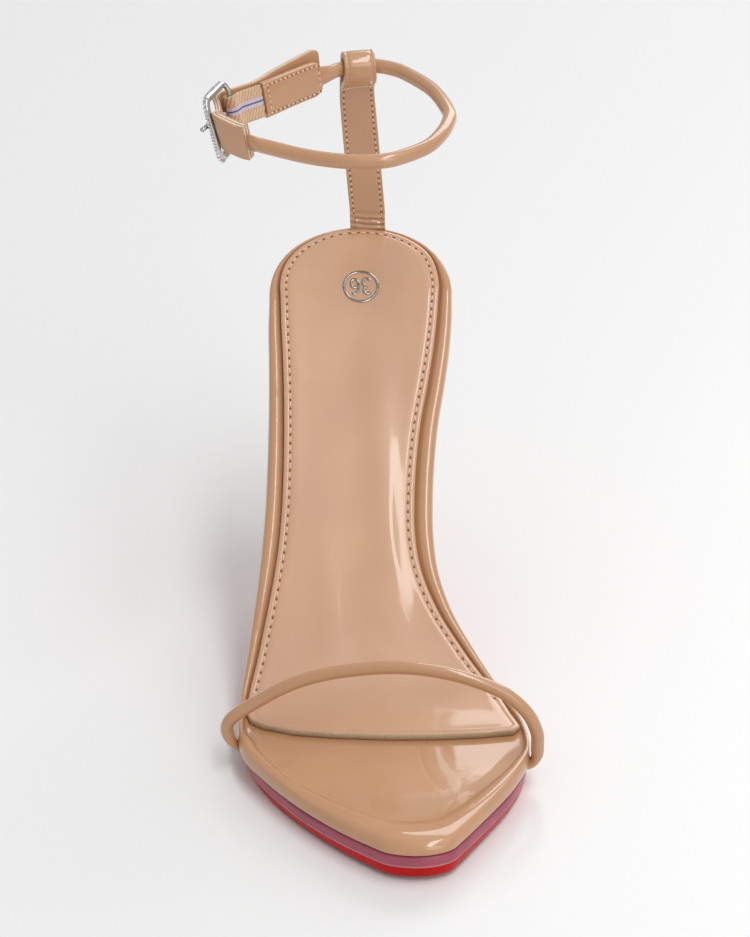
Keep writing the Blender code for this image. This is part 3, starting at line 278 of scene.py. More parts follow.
def spline(points, step):
    """Points about a step apart on the smooth curve through the given points."""
    ends = [points[0] * 2.0 - points[1]] + list(points) + [points[-1] * 2.0 - points[-2]]
    curve = []
    for before, start, end, after in zip(ends, ends[1:], ends[2:], ends[3:]):
        pieces = max(1, round((end - start).length / step))
        for piece in range(pieces):
            curve.append(curve_point(before, start, end, after, piece / pieces))
    curve.append(points[-1].copy())
    return curve


def distances(points):
    """Length of the path up to each point."""
    total = [0.0]
    for start, end in zip(points, points[1:]):
        total.append(total[-1] + (end - start).length)
    return total


def path_between(points, start, end, step):
    """The stretch of a path between two distances along it, cut at even steps."""
    lengths = distances(points)
    pieces = max(1, round((end - start) / step))
    stretch = []
    for piece in range(pieces + 1):
        wanted = start + (end - start) * piece / pieces
        index = max(i for i, length in enumerate(lengths[:-1]) if length <= max(wanted, 0.0))
        share = (wanted - lengths[index]) / (lengths[index + 1] - lengths[index])
        stretch.append(points[index].lerp(points[index + 1], share))
    return stretch


class Last:
    """The footbed's side profile: slope by share of length, summed up to heights."""

    def __init__(self):
        self.sheet = FOOTBED_LENGTH / PROFILE_STEPS
        layers = SOCK_THICKNESS + BOARD_THICKNESS + SOLE_THICKNESS
        self.ball_height = layers + 2.0 * GAP - TREAD_CUT
        low, high = STEEPNESS_RANGE
        for _ in range(STEEPNESS_ROUNDS):
            middle = (low + high) / 2.0
            if self.rise(middle) < SEAT_HEIGHT - self.ball_height:
                low = middle
            else:
                high = middle
        self.steepness = low
        self.back, self.height = self.walk(low)

    def slope(self, share, steepness):
        if share >= BALL_ALONG:
            past = (share - BALL_ALONG) / (1.0 - BALL_ALONG)
            return -TOE_SPRING * past ** TOE_SPRING_POWER
        degrees = table_value(PROFILE, SLOPE_COLUMN, share)
        return radians(degrees) * steepness

    def rise(self, steepness):
        return sum(
            sin(self.slope((i + 0.5) / PROFILE_STEPS, steepness)) * self.sheet
            for i in range(round(PROFILE_STEPS * BALL_ALONG))
        )

    def walk(self, steepness):
        """Y and Z of the surface at each step of its length, with the ball at Y zero."""
        back, height = [0.0], [0.0]
        for i in range(PROFILE_STEPS):
            slope = self.slope((i + 0.5) / PROFILE_STEPS, steepness)
            back.append(back[-1] - cos(slope) * self.sheet)
            height.append(height[-1] - sin(slope) * self.sheet)
        ball = round(PROFILE_STEPS * BALL_ALONG)
        lift = self.ball_height - height[ball]
        return [y - back[ball] for y in back], [z + lift for z in height]

    def place(self, across, along, lift=0.0):
        """World place of a point given across, along and lift."""
        steps = along / self.sheet
        index = min(max(int(steps), 0), PROFILE_STEPS - 1)
        share = steps - index
        slope = self.slope(min(max(steps / PROFILE_STEPS, 0.0), 1.0), self.steepness)
        back = self.back[index] + (self.back[index + 1] - self.back[index]) * share
        height = self.height[index] + (self.height[index + 1] - self.height[index]) * share
        return Vector((across, back - lift * sin(slope), height + lift * cos(slope)))


LAST = Last()
HALF_BALL = BALL_WIDTH / 2.0
FOOTBED_UNDERSIDE = -(SOCK_THICKNESS + GAP + BOARD_THICKNESS)
SOLE_TOP = FOOTBED_UNDERSIDE - GAP
WELL_FLOOR = -(SOCK_THICKNESS + GAP)


def spine(along):
    """Middle of the outline, held inside the round heel and the pointed toe."""
    heel = OUTLINE[0][0] * FOOTBED_LENGTH
    toe = TOE_SPINE_ALONG * FOOTBED_LENGTH
    held = min(max(along, heel), toe)
    share = held / FOOTBED_LENGTH
    lateral, medial = [table_value(OUTLINE, place, share) for place in SIDE_COLUMNS.values()]
    return Vector(((lateral + medial) / 2.0 * HALF_BALL, held))


def side_points(side):
    """One side of the rim's outline, from beside the heel's back to beside the toe tip."""
    sign = 1.0 if side == "medial" else -1.0
    cap = OUTLINE[0][0] * FOOTBED_LENGTH
    edge = table_value(OUTLINE, SIDE_COLUMNS[side], OUTLINE[0][0]) * HALF_BALL
    centre = spine(cap).x
    points = []
    for step in range(1, HEEL_CAP_STEPS):
        angle = radians(RIGHT_ANGLE) * step / HEEL_CAP_STEPS
        reach = abs(edge - centre) * sin(angle)
        points.append(Vector((centre + sign * reach, cap * (1.0 - cos(angle)))))
    place = SIDE_COLUMNS[side]
    edges = [Vector((row[place] * HALF_BALL, row[0] * FOOTBED_LENGTH)) for row in OUTLINE]
    tip = Vector((TOE_TIP_ACROSS * HALF_BALL, FOOTBED_LENGTH))
    mirrored = Vector((2.0 * tip.x - edges[-1].x, edges[-1].y))
    chain = [points[-1]] + edges + [tip, mirrored]
    for before, start, end, after in zip(chain, chain[1:], chain[2:], chain[3:]):
        for piece in range(SUBDIVISIONS):
            points.append(curve_point(before, start, end, after, piece / SUBDIVISIONS))
    return points


def outline():
    """The rim's outline as a closed ring: heel tip, inner side, toe tip, outer side."""
    heel = Vector((spine(0.0).x, 0.0))
    tip = Vector((TOE_TIP_ACROSS * HALF_BALL, FOOTBED_LENGTH))
    return [heel] + side_points("medial") + [tip] + side_points("lateral")[::-1]


def inset(point, distance):
    """A point of an outline moved towards the outline's spine."""
    return point + (spine(point.y) - point).normalized() * distance


def rim_width(point):
    """Width of the rim at a point of the outline."""
    side = "medial" if point.x > spine(point.y).x else "lateral"
    return table_value(RIM, SIDE_COLUMNS[side], point.y / FOOTBED_LENGTH) * RIM_WIDTH


def tangents(path, closed=False):
    count = len(path)
    found = []
    for i in range(count):
        before = path[i - 1] if closed or i > 0 else path[i]
        after = path[(i + 1) % count] if closed or i < count - 1 else path[i]
        found.append((after - before).normalized())
    return found


def oval_ring(centre, up, out, half_height, half_thickness):
    """Round cord section, flattened where the two halves differ."""
    return [
        centre
        + up * half_height * cos(tau * i / CORD_SIDES)
        + out * half_thickness * sin(tau * i / CORD_SIDES)
        for i in range(CORD_SIDES)
    ]


def sock_outline():
    """Outline of the sock and, for each point, the way to its middle."""
    sides_end = SOCK_SIDES_END * FOOTBED_LENGTH
    ring = []
    for point in outline():
        if point.y > sides_end:
            continue
        edge = inset(point, rim_width(point) + GAP)
        ring.append((edge, (spine(point.y) - point).normalized()))
    front = []
    for along, across in SOCK_FRONT:
        point = Vector((across * HALF_BALL, along * FOOTBED_LENGTH))
        front.append((point, (Vector((0.0, sides_end)) - point).normalized()))
    medial = sum(1 for point, _ in ring if point.x > spine(point.y).x)
    return ring[:medial + 1] + front + ring[medial + 1:]


def sole_value(name, along):
    """A length of the outsole at a place along the footbed."""
    unit = SOLE_THICKNESS if name == "thickness" else SOLE_BEVEL
    return table_value(SOLE, SOLE_COLUMNS[name], along / FOOTBED_LENGTH) * unit


def side_edge(side, along):
    """Across of the rim's outer edge on one side."""
    share = along / FOOTBED_LENGTH
    return table_value(OUTLINE, SIDE_COLUMNS[side], share) * HALF_BALL


def heel_section(width, back, breast, height):
    """Level section of the heel: round at its back, flatter across its breast."""
    heel_back = LAST.place(0.0, 0.0).y
    rear = heel_back - back * HEEL_SEAT_LENGTH
    front = heel_back - breast * HEEL_SEAT_LENGTH
    middle = (rear + front) / 2.0
    depth = (rear - front) / 2.0
    ring = []
    for i in range(HEEL_SIDES):
        angle = tau * (i + 0.5) / HEEL_SIDES
        side, away = sin(angle), cos(angle)
        flatness, fullness = HEEL_BREAST_POWERS if away < 0.0 else (1.0, 1.0)
        reach = copysign(abs(away) ** flatness, away)
        wide = copysign(abs(side) ** fullness, side)
        ring.append(Vector((spine(0.0).x + wide * width, middle + reach * depth, height)))
    return ring


def heel_seat_ring(lift):
    """Top ring of the heel, on the footbed's curved underside, closed by the breast line."""
    edge = [point for point in outline() if point.y <= HEEL_SEAT_LENGTH]
    corners = [
        Vector((side_edge(side, HEEL_SEAT_LENGTH), HEEL_SEAT_LENGTH))
        for side in ("medial", "lateral")
    ]
    medial = [point for point in edge[1:] if point.x > spine(point.y).x]
    lateral = [point for point in edge[1:] if point.x <= spine(point.y).x]
    inner = [inset(point, HEEL_INSET) for point in [edge[0]] + medial + corners + lateral]
    centre = Vector((spine(0.0).x, HEEL_CENTRE * HEEL_SEAT_LENGTH))
    ring = []
    for i in range(HEEL_SIDES):
        angle = tau * (i + 0.5) / HEEL_SIDES
        ray = Vector((sin(angle), -cos(angle)))
        reach = 0.0
        for start, end in zip(inner, inner[1:] + inner[:1]):
            side = end - start
            turn = ray.x * side.y - ray.y * side.x
            if abs(turn) < TINY:
                continue
            offset = start - centre
            far = (offset.x * side.y - offset.y * side.x) / turn
            share_on = (offset.x * ray.y - offset.y * ray.x) / turn
            if far > 0.0 and -ROUNDING <= share_on <= 1.0 + ROUNDING:
                reach = max(reach, far)
        point = centre + ray * reach
        ring.append(LAST.place(point.x, point.y, lift))
    return ring


def heel_rings():
    """Sections of the heel, from a cup under the seat down to the top piece."""
    full = LAST.place(0.0, 0.0, SOLE_TOP).z
    half_seat = (OUTLINE[0][2] - OUTLINE[0][1]) / 2.0 * HALF_BALL
    foot = TIP_HEIGHT + GAP
    lower = []
    for height, width, back, breast in HEEL:
        lower.append(heel_section(width * half_seat, back, breast, height * full))
    lower.append(tip_section(foot, 0.0))
    top = heel_seat_ring(SOLE_TOP)
    seat = heel_seat_ring(SOLE_TOP - sole_value("thickness", HEEL_SEAT_LENGTH) - GAP)
    rings = [top, seat]
    for step in range(1, HEEL_CUP_STEPS):
        t = step / HEEL_CUP_STEPS
        ease = 3.0 * t ** 2 - 2.0 * t ** 3
        ring = []
        for top, bottom in zip(seat, lower[0]):
            point = top.lerp(bottom, ease)
            point.z = top.z + (bottom.z - top.z) * t
            ring.append(point)
        rings.append(ring)
    return rings + lower


def tip_section(height, inset_by):
    """Foot of the heel, a D with its straight side forward."""
    heel_back = LAST.place(0.0, 0.0).y
    middle = heel_back - HEEL_TIP_BACK * HEEL_SEAT_LENGTH - TIP_DEPTH / 2.0
    ring = heel_section(TIP_WIDTH / 2.0 - inset_by, 0.0, 1.0, height)
    low = min(point.y for point in ring)
    high = max(point.y for point in ring)
    for point in ring:
        share = (point.y - low) / (high - low) * 2.0 - 1.0
        point.y = middle + share * (TIP_DEPTH / 2.0 - inset_by)
    return ring


def toe_strap_path():
    """Centre line of the toe strap, tucked in under the rim at both ends."""
    clear = TOE_CORD_RADIUS + GAP
    seam = FOOTBED_UNDERSIDE - GAP / 2.0
    feet = []
    ends = (("lateral", TOE_STRAP_LATERAL, -1.0), ("medial", TOE_STRAP_MEDIAL, 1.0))
    for side, share, sign in ends:
        along = share * FOOTBED_LENGTH
        feet.append((side_edge(side, along), along, sign))
    left, right = [LAST.place(edge + sign * clear, along, seam) for edge, along, sign in feet]
    middle = (left + right) / 2.0
    half = (right - left) / 2.0
    arch = []
    for across, rise in TOE_STRAP:
        point = middle + half * across
        point.z += rise * TOE_STRAP_RISE
        arch.append(point)
    tucks = []
    for (edge, along, sign), foot in zip(feet, (left, right)):
        deep = LAST.place(edge - sign * TOE_STRAP_TUCK, along, seam)
        near = LAST.place(edge, along, seam)
        elbow = foot + Vector((-sign * GAP, 0.0, TOE_CORD_RADIUS))
        tucks.append([deep, near, elbow])
    return spline(tucks[0] + arch + tucks[1][::-1], SPLINE_STEP)


def toe_cord_rings():
    """Sections of the toe strap's cord, flat where it is tucked in."""
    path = toe_strap_path()
    lengths = distances(path)
    forward = Vector((0.0, -1.0, 0.0))
    rings = []
    for point, way, length in zip(path, tangents(path), lengths):
        from_end = min(length, lengths[-1] - length)
        knots = (0.0, TOE_STRAP_TUCK, 2.0 * TOE_STRAP_TUCK)
        flat = smooth_value(knots, TOE_CORD_FLATNESS, from_end)
        thin = TOE_CORD_RADIUS * (1.0 - TOE_CORD_THINNING * flat)
        wide = TOE_CORD_RADIUS * (1.0 + TOE_CORD_SPREAD * flat)
        side = (forward - way * forward.dot(way)).normalized()
        rings.append(oval_ring(point, side, way.cross(side), wide, thin))
    return rings


def ring_height(back):
    """Height of the ankle strap's centre line above the floor at a place along Y."""
    loop = loop_centre()
    return loop.z - RING_DROOP * (loop.y - back) / RING_DEPTH


def loop_centre():
    """Centre of the ankle cord inside the back strap's loop."""
    heel = LAST.place(0.0, 0.0)
    return Vector((RING_ACROSS, heel.y - RING_SETBACK, heel.z + RING_HEIGHT))


def ring_place(across, forward):
    loop = loop_centre()
    back = loop.y - forward * RING_DEPTH
    return Vector((loop.x + across * RING_WIDTH, back, ring_height(back)))


def ring_path():
    """Centre line of the ankle strap from the patch's front end to the billet."""
    return spline([ring_place(*row) for row in RING], SPLINE_STEP)


def buckle_place(along, out, up=0.0):
    """A point in the buckle's own frame: from its rear bar forward, outward and upward."""
    bar = ring_place(BUCKLE_ACROSS, BUCKLE_FORWARD)
    forward, outward, upward = buckle_axes()
    return bar + forward * along + outward * out + upward * up


def buckle_axes():
    forward = Vector((-sin(BUCKLE_TURN), -cos(BUCKLE_TURN), 0.0))
    level = Vector((-cos(BUCKLE_TURN), sin(BUCKLE_TURN), 0.0))
    outward = level * cos(BUCKLE_LEAN) - Vector((0.0, 0.0, sin(BUCKLE_LEAN)))
    upward = level * sin(BUCKLE_LEAN) + Vector((0.0, 0.0, cos(BUCKLE_LEAN)))
    return forward, outward, upward


def lean_at(point):
    """How far the strap tips outward, growing from the patch to the buckle."""
    patch = ring_place(*RING[2])
    bar = buckle_place(0.0, 0.0)
    share = (patch.y - point.y) / (patch.y - bar.y)
    return PATCH_LEAN + (BUCKLE_LEAN - PATCH_LEAN) * min(max(share, 0.0), 1.0)


def strap_axes(point, way):
    """Up and out of a strap that runs level round the ankle."""
    level = Vector((way.y, -way.x, 0.0)).normalized()
    if level.x * (point.x - RING_ACROSS) + level.y * (point.y - ring_place(0.0, 0.5).y) < 0.0:
        level = -level
    lean = lean_at(point)
    up = level * sin(lean) + Vector((0.0, 0.0, cos(lean)))
    return up, level * cos(lean) - Vector((0.0, 0.0, sin(lean)))


def cord_end_shares(from_end):
    """How flat the ankle cord is at a distance from its end."""
    flat_to = CORD_END_LENGTH
    return 1.0 - smooth_value((0.0, flat_to, flat_to + CORD_FLATTENING), (0.0, 0.0, 1.0), from_end)


def ankle_path():
    """The cord's centre line, from inside the patch to inside the billet."""
    ring = ring_path()
    start = PATCH_LENGTH - CORD_END_LENGTH
    stretch = path_between(ring, start, distances(ring)[-1], SPLINE_STEP)
    inside = path_between(billet_path(), CORD_END_LENGTH / 4.0, CORD_END_LENGTH, SPLINE_STEP)
    return stretch[:-1] + inside


def ankle_cord_rings():
    """Sections of the ankle strap's round cord, flat inside the patch and the billet."""
    path = ankle_path()
    lengths = distances(path)
    rings = []
    for point, way, length in zip(path, tangents(path), lengths):
        flat = cord_end_shares(min(length, lengths[-1] - length))
        high = ANKLE_CORD_RADIUS + (CORD_END_HALF_HEIGHT - ANKLE_CORD_RADIUS) * flat
        thin = ANKLE_CORD_RADIUS + (CORD_END_HALF_THICKNESS - ANKLE_CORD_RADIUS) * flat
        up, out = strap_axes(point, way)
        rings.append(oval_ring(point, up, out, high, thin))
    return rings


def loop_axes():
    """Along the ankle cord and to the rear of it, level, where the back strap holds it."""
    place = RING.index((0.0, 0.0))
    along = ring_place(*RING[place + 1]) - ring_place(*RING[place - 1])
    along.z = 0.0
    along.normalize()
    return along, Vector((-along.y, along.x, 0.0))


def back_strap_foot():
    """Middle of the back strap's lower end, sunk behind the sock."""
    foot = LAST.place(0.0, BACK_STRAP_THICKNESS, -BACK_STRAP_SINK)
    return Vector((BACK_STRAP_FOOT_ACROSS, foot.y, foot.z))


def back_strap_path():
    """Middle of the flat strap up the back of the heel, folded forward over the ankle cord."""
    loop = loop_centre()
    rear = loop_axes()[1]
    up = Vector((0.0, 0.0, 1.0))
    radius = ANKLE_CORD_RADIUS + LOOP_CLEARANCE + BACK_STRAP_THICKNESS / 2.0
    foot = back_strap_foot()
    riser = [foot, foot + up * BACK_STRAP_UPRIGHT]
    for fall in RISER_FALLS:
        riser.append(loop + rear * radius - up * fall * radius)
    path = path_between(riser, 0.0, distances(riser)[-1], 2.0 * SPLINE_STEP)
    steps = round(pi / WRAP_STEP)
    for step in range(steps + 1):
        angle = pi * step / steps
        path.append(loop + rear * radius * cos(angle) + up * radius * sin(angle))
    for behind, fall in FLAP:
        path.append(loop + rear * behind * radius - up * fall * radius)
    return path


def back_strap_rise(point):
    """Share of the way from the back strap's foot up to the ankle cord."""
    foot, loop = back_strap_foot(), loop_centre()
    return min(max((point.z - foot.z) / (loop.z - foot.z), 0.0), 1.0)


def back_strap_width(point):
    """Width of the back strap, narrower where it holds the ankle cord."""
    share = back_strap_rise(point) ** BACK_STRAP_TAPER
    return BACK_STRAP_WIDTH + (BACK_STRAP_LOOP_WIDTH - BACK_STRAP_WIDTH) * share


def back_strap_axes(point, way):
    """Across and out of the back strap, turning with the ankle cord as it rises."""
    across = Vector((1.0, 0.0, 0.0)).lerp(loop_axes()[0], back_strap_rise(point)).normalized()
    across = (across - way * across.dot(way)).normalized()
    return across, way.cross(across)


def rounded_end(from_end, reach, narrowest):
    """Height of a strap near its round end, all lengths as shares of its full height."""
    t = min(from_end / reach, 1.0)
    return narrowest + (1.0 - narrowest) * sqrt(1.0 - (1.0 - t) ** 2)


def elastic_path():
    """From the patch to the buckle's rear bar, round the bar and back."""
    radius = BUCKLE_BAR_RADIUS + GAP + ELASTIC_THICKNESS / 2.0
    ring = ring_path()
    way = (ring[0] - ring[1]).normalized()
    start = ring[0] + way * GAP
    lead = buckle_place(-ELASTIC_LEAD * radius, -ELASTIC_LEAD * radius)
    path = [start, start.lerp(lead, 0.5), lead]
    return path + bar_wrap(radius, *ELASTIC_WRAP)


def bar_wrap(radius, first, last):
    """Path round the buckle's rear bar between two angles."""
    steps = max(1, round(abs(last - first) / WRAP_STEP))
    angles = [first + (last - first) * step / steps for step in range(steps + 1)]
    return [buckle_place(radius * cos(angle), radius * sin(angle)) for angle in angles]


def bar_clearance():
    """How far the billet's inner side lies from the rear bar's middle, over the prong."""
    return BUCKLE_BAR_RADIUS + 2.0 * PRONG_RADIUS + 2.5 * GAP


def billet_path():
    """From the ankle cord's end under the buckle's front bar, over its rear bar and back."""
    half = BILLET_THICKNESS / 2.0
    under = -(BUCKLE_THICKNESS / 2.0 + 2.0 * GAP + half)
    over = bar_clearance() + half
    aside = PATCH_THICKNESS / 2.0 + 2.0 * GAP + half
    ring = ring_path()
    points = [ring[-1]]
    joint_way = (ring[-1] - ring[-2]).normalized()
    points.append(ring[-1] + joint_way * BILLET_LEAD)
    for along, low, high in BILLET:
        points.append(buckle_place(along * BUCKLE_LENGTH, low * under + high * over))
    stretch = path_between(ring, 0.0, PATCH_LENGTH + BILLET_PAST_PATCH, PATCH_LENGTH / 3.0)
    for index, (point, way) in enumerate(zip(stretch, tangents(stretch))):
        share = index / (len(stretch) - 1)
        up, out = strap_axes(point, way)
        points.append(point + out * (aside + share * GAP) + up * BILLET_RAISE * share)
    return spline(points, BILLET_STEP)


def buckle_loop():
    """Along and up of the frame's centre line, a rectangle with round corners."""
    half_up = (BUCKLE_HEIGHT - BUCKLE_RAIL) / 2.0 - BUCKLE_CORNER
    near, far = BUCKLE_CORNER, BUCKLE_LENGTH - BUCKLE_CORNER
    corners = ((near, -half_up), (near, half_up), (far, half_up), (far, -half_up))
    points = []
    for corner, (along, up) in enumerate(corners):
        start = RIGHT_ANGLE * (len(corners) - 1 - corner)
        for step in range(BUCKLE_CORNER_STEPS + 1):
            angle = radians(start - RIGHT_ANGLE * step / BUCKLE_CORNER_STEPS)
            reach = BUCKLE_CORNER * cos(angle), BUCKLE_CORNER * sin(angle)
            points.append((along + reach[0], up + reach[1]))
    return points


def buckle_rings():
    """Sections of the cast frame with a thin rear bar, slightly crowned along its length."""
    points = buckle_loop()
    outward = buckle_axes()[1]
    path = []
    for along, up in points:
        share = along / BUCKLE_LENGTH
        crown = BUCKLE_CROWN * 4.0 * share * (1.0 - share)
        path.append(buckle_place(along, crown, up))
    rings = []
    for (along, up), point, way in zip(points, path, tangents(path, closed=True)):
        slim = smooth_value((0.0, BUCKLE_CORNER, 2.0 * BUCKLE_CORNER), BUCKLE_SLIMNESS, along)
        rail = BUCKLE_RAIL + (2.0 * BUCKLE_BAR_RADIUS - BUCKLE_RAIL) * slim
        thick = BUCKLE_THICKNESS + (2.0 * BUCKLE_BAR_RADIUS - BUCKLE_THICKNESS) * slim
        side = way.cross(outward).normalized()
        rings.append(oval_ring(point, side, outward, rail / 2.0, thick / 2.0))
    return rings


def prong_path():
    """Round the rear bar, out through the billet's hole and over the front bar."""
    radius = BUCKLE_BAR_RADIUS + GAP + PRONG_RADIUS
    rest = BUCKLE_THICKNESS / 2.0 + GAP + PRONG_RADIUS
    over = bar_clearance() + BILLET_THICKNESS
    points = bar_wrap(radius, *PRONG_WRAP)
    for along, on_bar, above, at_rest in PRONG:
        out = on_bar * radius + above * over + at_rest * rest
        points.append(buckle_place(along * BUCKLE_LENGTH, out, PRONG_CLIMB * along))
    return spline(points, PRONG_STEP)


def prong_rings():
    path = prong_path()
    upward = buckle_axes()[2]
    rings = []
    for point, way in zip(path, tangents(path)):
        out = way.cross(upward).normalized()
        rings.append(oval_ring(point, upward, out, PRONG_RADIUS, PRONG_RADIUS))
    return rings


# How finely the visible forms are divided
BACK_STRAP_STEP = 0.35 * MM
SUBDIVISIONS = 8
HEEL_CAP_STEPS = 32
HEEL_SIDES = 96
HEEL_CUP_STEPS = 16
CORD_SIDES = 32
SPLINE_STEP = 1.0 * MM
PATCH_STEP = 0.5 * MM
BILLET_STEP = 0.6 * MM
PRONG_STEP = 0.5 * MM
WRAP_STEP = radians(6.0)
BUCKLE_CORNER_STEPS = 10
SMOOTH_BETWEEN = 4

# Footbed's wrapped rim, from the underside over the roll to the well: inset, inset as a share
# of the rim's width, height, and what it is measured from
RIM_SECTION = (
    (3.0 * MM, 0.00, 0.00 * MM, FOOTBED_UNDERSIDE), (0.7 * MM, 0.00, 0.05 * MM, FOOTBED_UNDERSIDE),
    (0.15 * MM, 0.00, 0.45 * MM, FOOTBED_UNDERSIDE),
    (0.00 * MM, 0.00, 1.00 * MM, FOOTBED_UNDERSIDE),
    (0.00 * MM, 0.01, 2.20 * MM, FOOTBED_UNDERSIDE), (0.00 * MM, 0.14, 1.02 * MM, WELL_FLOOR),
    (0.00 * MM, 0.42, 1.46 * MM, WELL_FLOOR), (0.00 * MM, 0.72, 1.28 * MM, WELL_FLOOR),
    (0.00 * MM, 0.92, 0.55 * MM, WELL_FLOOR), (0.25 * MM, 1.00, 0.12 * MM, WELL_FLOOR),
    (1.20 * MM, 1.00, 0.00 * MM, WELL_FLOOR),
)
WELL_SHARES = (0.15, 0.35, 0.6, 0.85, 0.985)

# Sock's section from its underside over the edge: inset and height above its top
SOCK_SECTION = (
    (0.00 * MM, -1.80 * MM), (0.00 * MM, -0.45 * MM), (0.10 * MM, -0.15 * MM),
    (0.40 * MM, 0.00 * MM), (1.10 * MM, 0.10 * MM), (1.60 * MM, 0.02 * MM),
    (1.95 * MM, -0.16 * MM), (2.30 * MM, 0.02 * MM), (3.20 * MM, 0.14 * MM),
    (4.60 * MM, 0.10 * MM),
)
SOCK_SHARES = (0.12, 0.25, 0.38, 0.5, 0.62, 0.74, 0.86, 0.97)
SOCK_STITCH_INSET = 1.95 * MM
SOCK_FAN = 26.0 * MM
SOCK_CUP = 0.4 * MM
SOCK_CUP_END = 0.45

# Soft lengthwise ridges that the foot has pressed into the sock: middle across, width,
# height, start and end along as shares of the footbed's length
SOCK_RIDGES = (
    (-14.0 * MM, 2.6 * MM, 0.32 * MM, 0.40, 0.72),
    (0.0 * MM, 2.2 * MM, 0.32 * MM, 0.44, 0.74),
    (5.0 * MM, 5.0 * MM, 0.64 * MM, 0.08, 0.76),
)

# Outsole's side: depth as a share of the band's and of the whole thickness below it, inset
# as a share from the side's to the tread's, a further inset, and the finish below each row
SOLE_SECTION = (
    (0.00, 0.00, 0.00, 0.60 * MM, "band"), (0.10, 0.00, 0.00, 0.12 * MM, "band"),
    (0.35, 0.00, 0.00, 0.00 * MM, "band"), (0.75, 0.00, 0.00, 0.00 * MM, "band"),
    (0.93, 0.00, 0.00, 0.10 * MM, "line"), (1.00, 0.00, 0.02, 0.02 * MM, "line"),
    (1.00, 0.08, 0.05, 0.06 * MM, "lacquer"), (1.00, 0.35, 0.26, 0.00 * MM, "lacquer"),
    (1.00, 0.65, 0.52, 0.00 * MM, "lacquer"), (1.00, 0.90, 0.80, 0.00 * MM, "lacquer"),
    (1.00, 1.00, 1.00, 0.00 * MM, "lacquer"),
)

# Wrinkles at the foot of the back strap: height above its lower end, depth, half width
WRINKLES = (
    (2.2 * MM, 0.40 * MM, 0.38 * MM), (3.1 * MM, -0.34 * MM, 0.34 * MM),
    (4.0 * MM, 0.42 * MM, 0.36 * MM), (4.9 * MM, -0.36 * MM, 0.34 * MM),
    (5.8 * MM, 0.34 * MM, 0.38 * MM), (6.8 * MM, -0.16 * MM, 0.44 * MM),
)
WRINKLE_SLANT = 0.14
WRINKLE_SAG = 1.6 * MM
WRINKLES_END = 8.5 * MM
STRAP_STITCH_START = 0.75 * WRINKLES_END

# Flap of the back strap: its cut end's sag and slant, and the ridge of the layer under it
FLAP_CURVE = 4.0 * MM
FLAP_SAG = 1.0 * MM
FLAP_SLANT = 0.08
FLAP_EDGE_STEPS = 2
FLAP_SKIVE = 2.0 * MM
FLAP_THINNEST = 0.6
UNDER_LAYER = 15.0 * MM
UNDER_LAYER_WIDTH = 0.45 * MM
UNDER_LAYER_RISE = 0.22 * MM
LOOP_STITCH_GAP = 3.0 * MM

# Range that most of a noise's values keep to, and the sock's uneven polish
NOISE_LOW = 0.3
NOISE_HIGH = 0.7
RUB_SIZE = 24.0 * MM
RUB_ROUGHNESS = (0.34, 0.46)

# How fast the sock's ridges rise from its edge
SOCK_EDGE_FADE = 1.6

# Shared recipes: shader values, then size, detail and share of the noise in the colour, and
# size, detail and height of the noise in the surface
# Knife-cut leather and board: dull, fibrous, uneven in tone
CUT = ({"Roughness": 0.85}, (0.35 * MM, 4.0, 0.22), (0.35 * MM, 4.0, 0.10 * MM))
# Leather edge inked and burnished with wax: a soft gloss over slightly uneven ink
WAXED = (
    {"Roughness": 0.30, "Specular IOR Level": 0.35}, (9.0 * MM, 3.0, 0.12),
    (1.2 * MM, 2.0, 0.016 * MM),
)
# Waxed nylon thread or covered rubber yarn: matt, with a fine twist
SPUN = (
    {"Roughness": 0.62, "Sheen Weight": 0.3}, (0.3 * MM, 2.0, 0.14), (0.3 * MM, 2.0, 0.06 * MM),
)
# Zinc or foil plated silver: bright, with the faint orange peel of the casting
PLATED = (
    {"Metallic": 1.0, "Roughness": 0.2}, (0.9 * MM, 2.0, 0.08), (0.9 * MM, 2.0, 0.02 * MM),
)

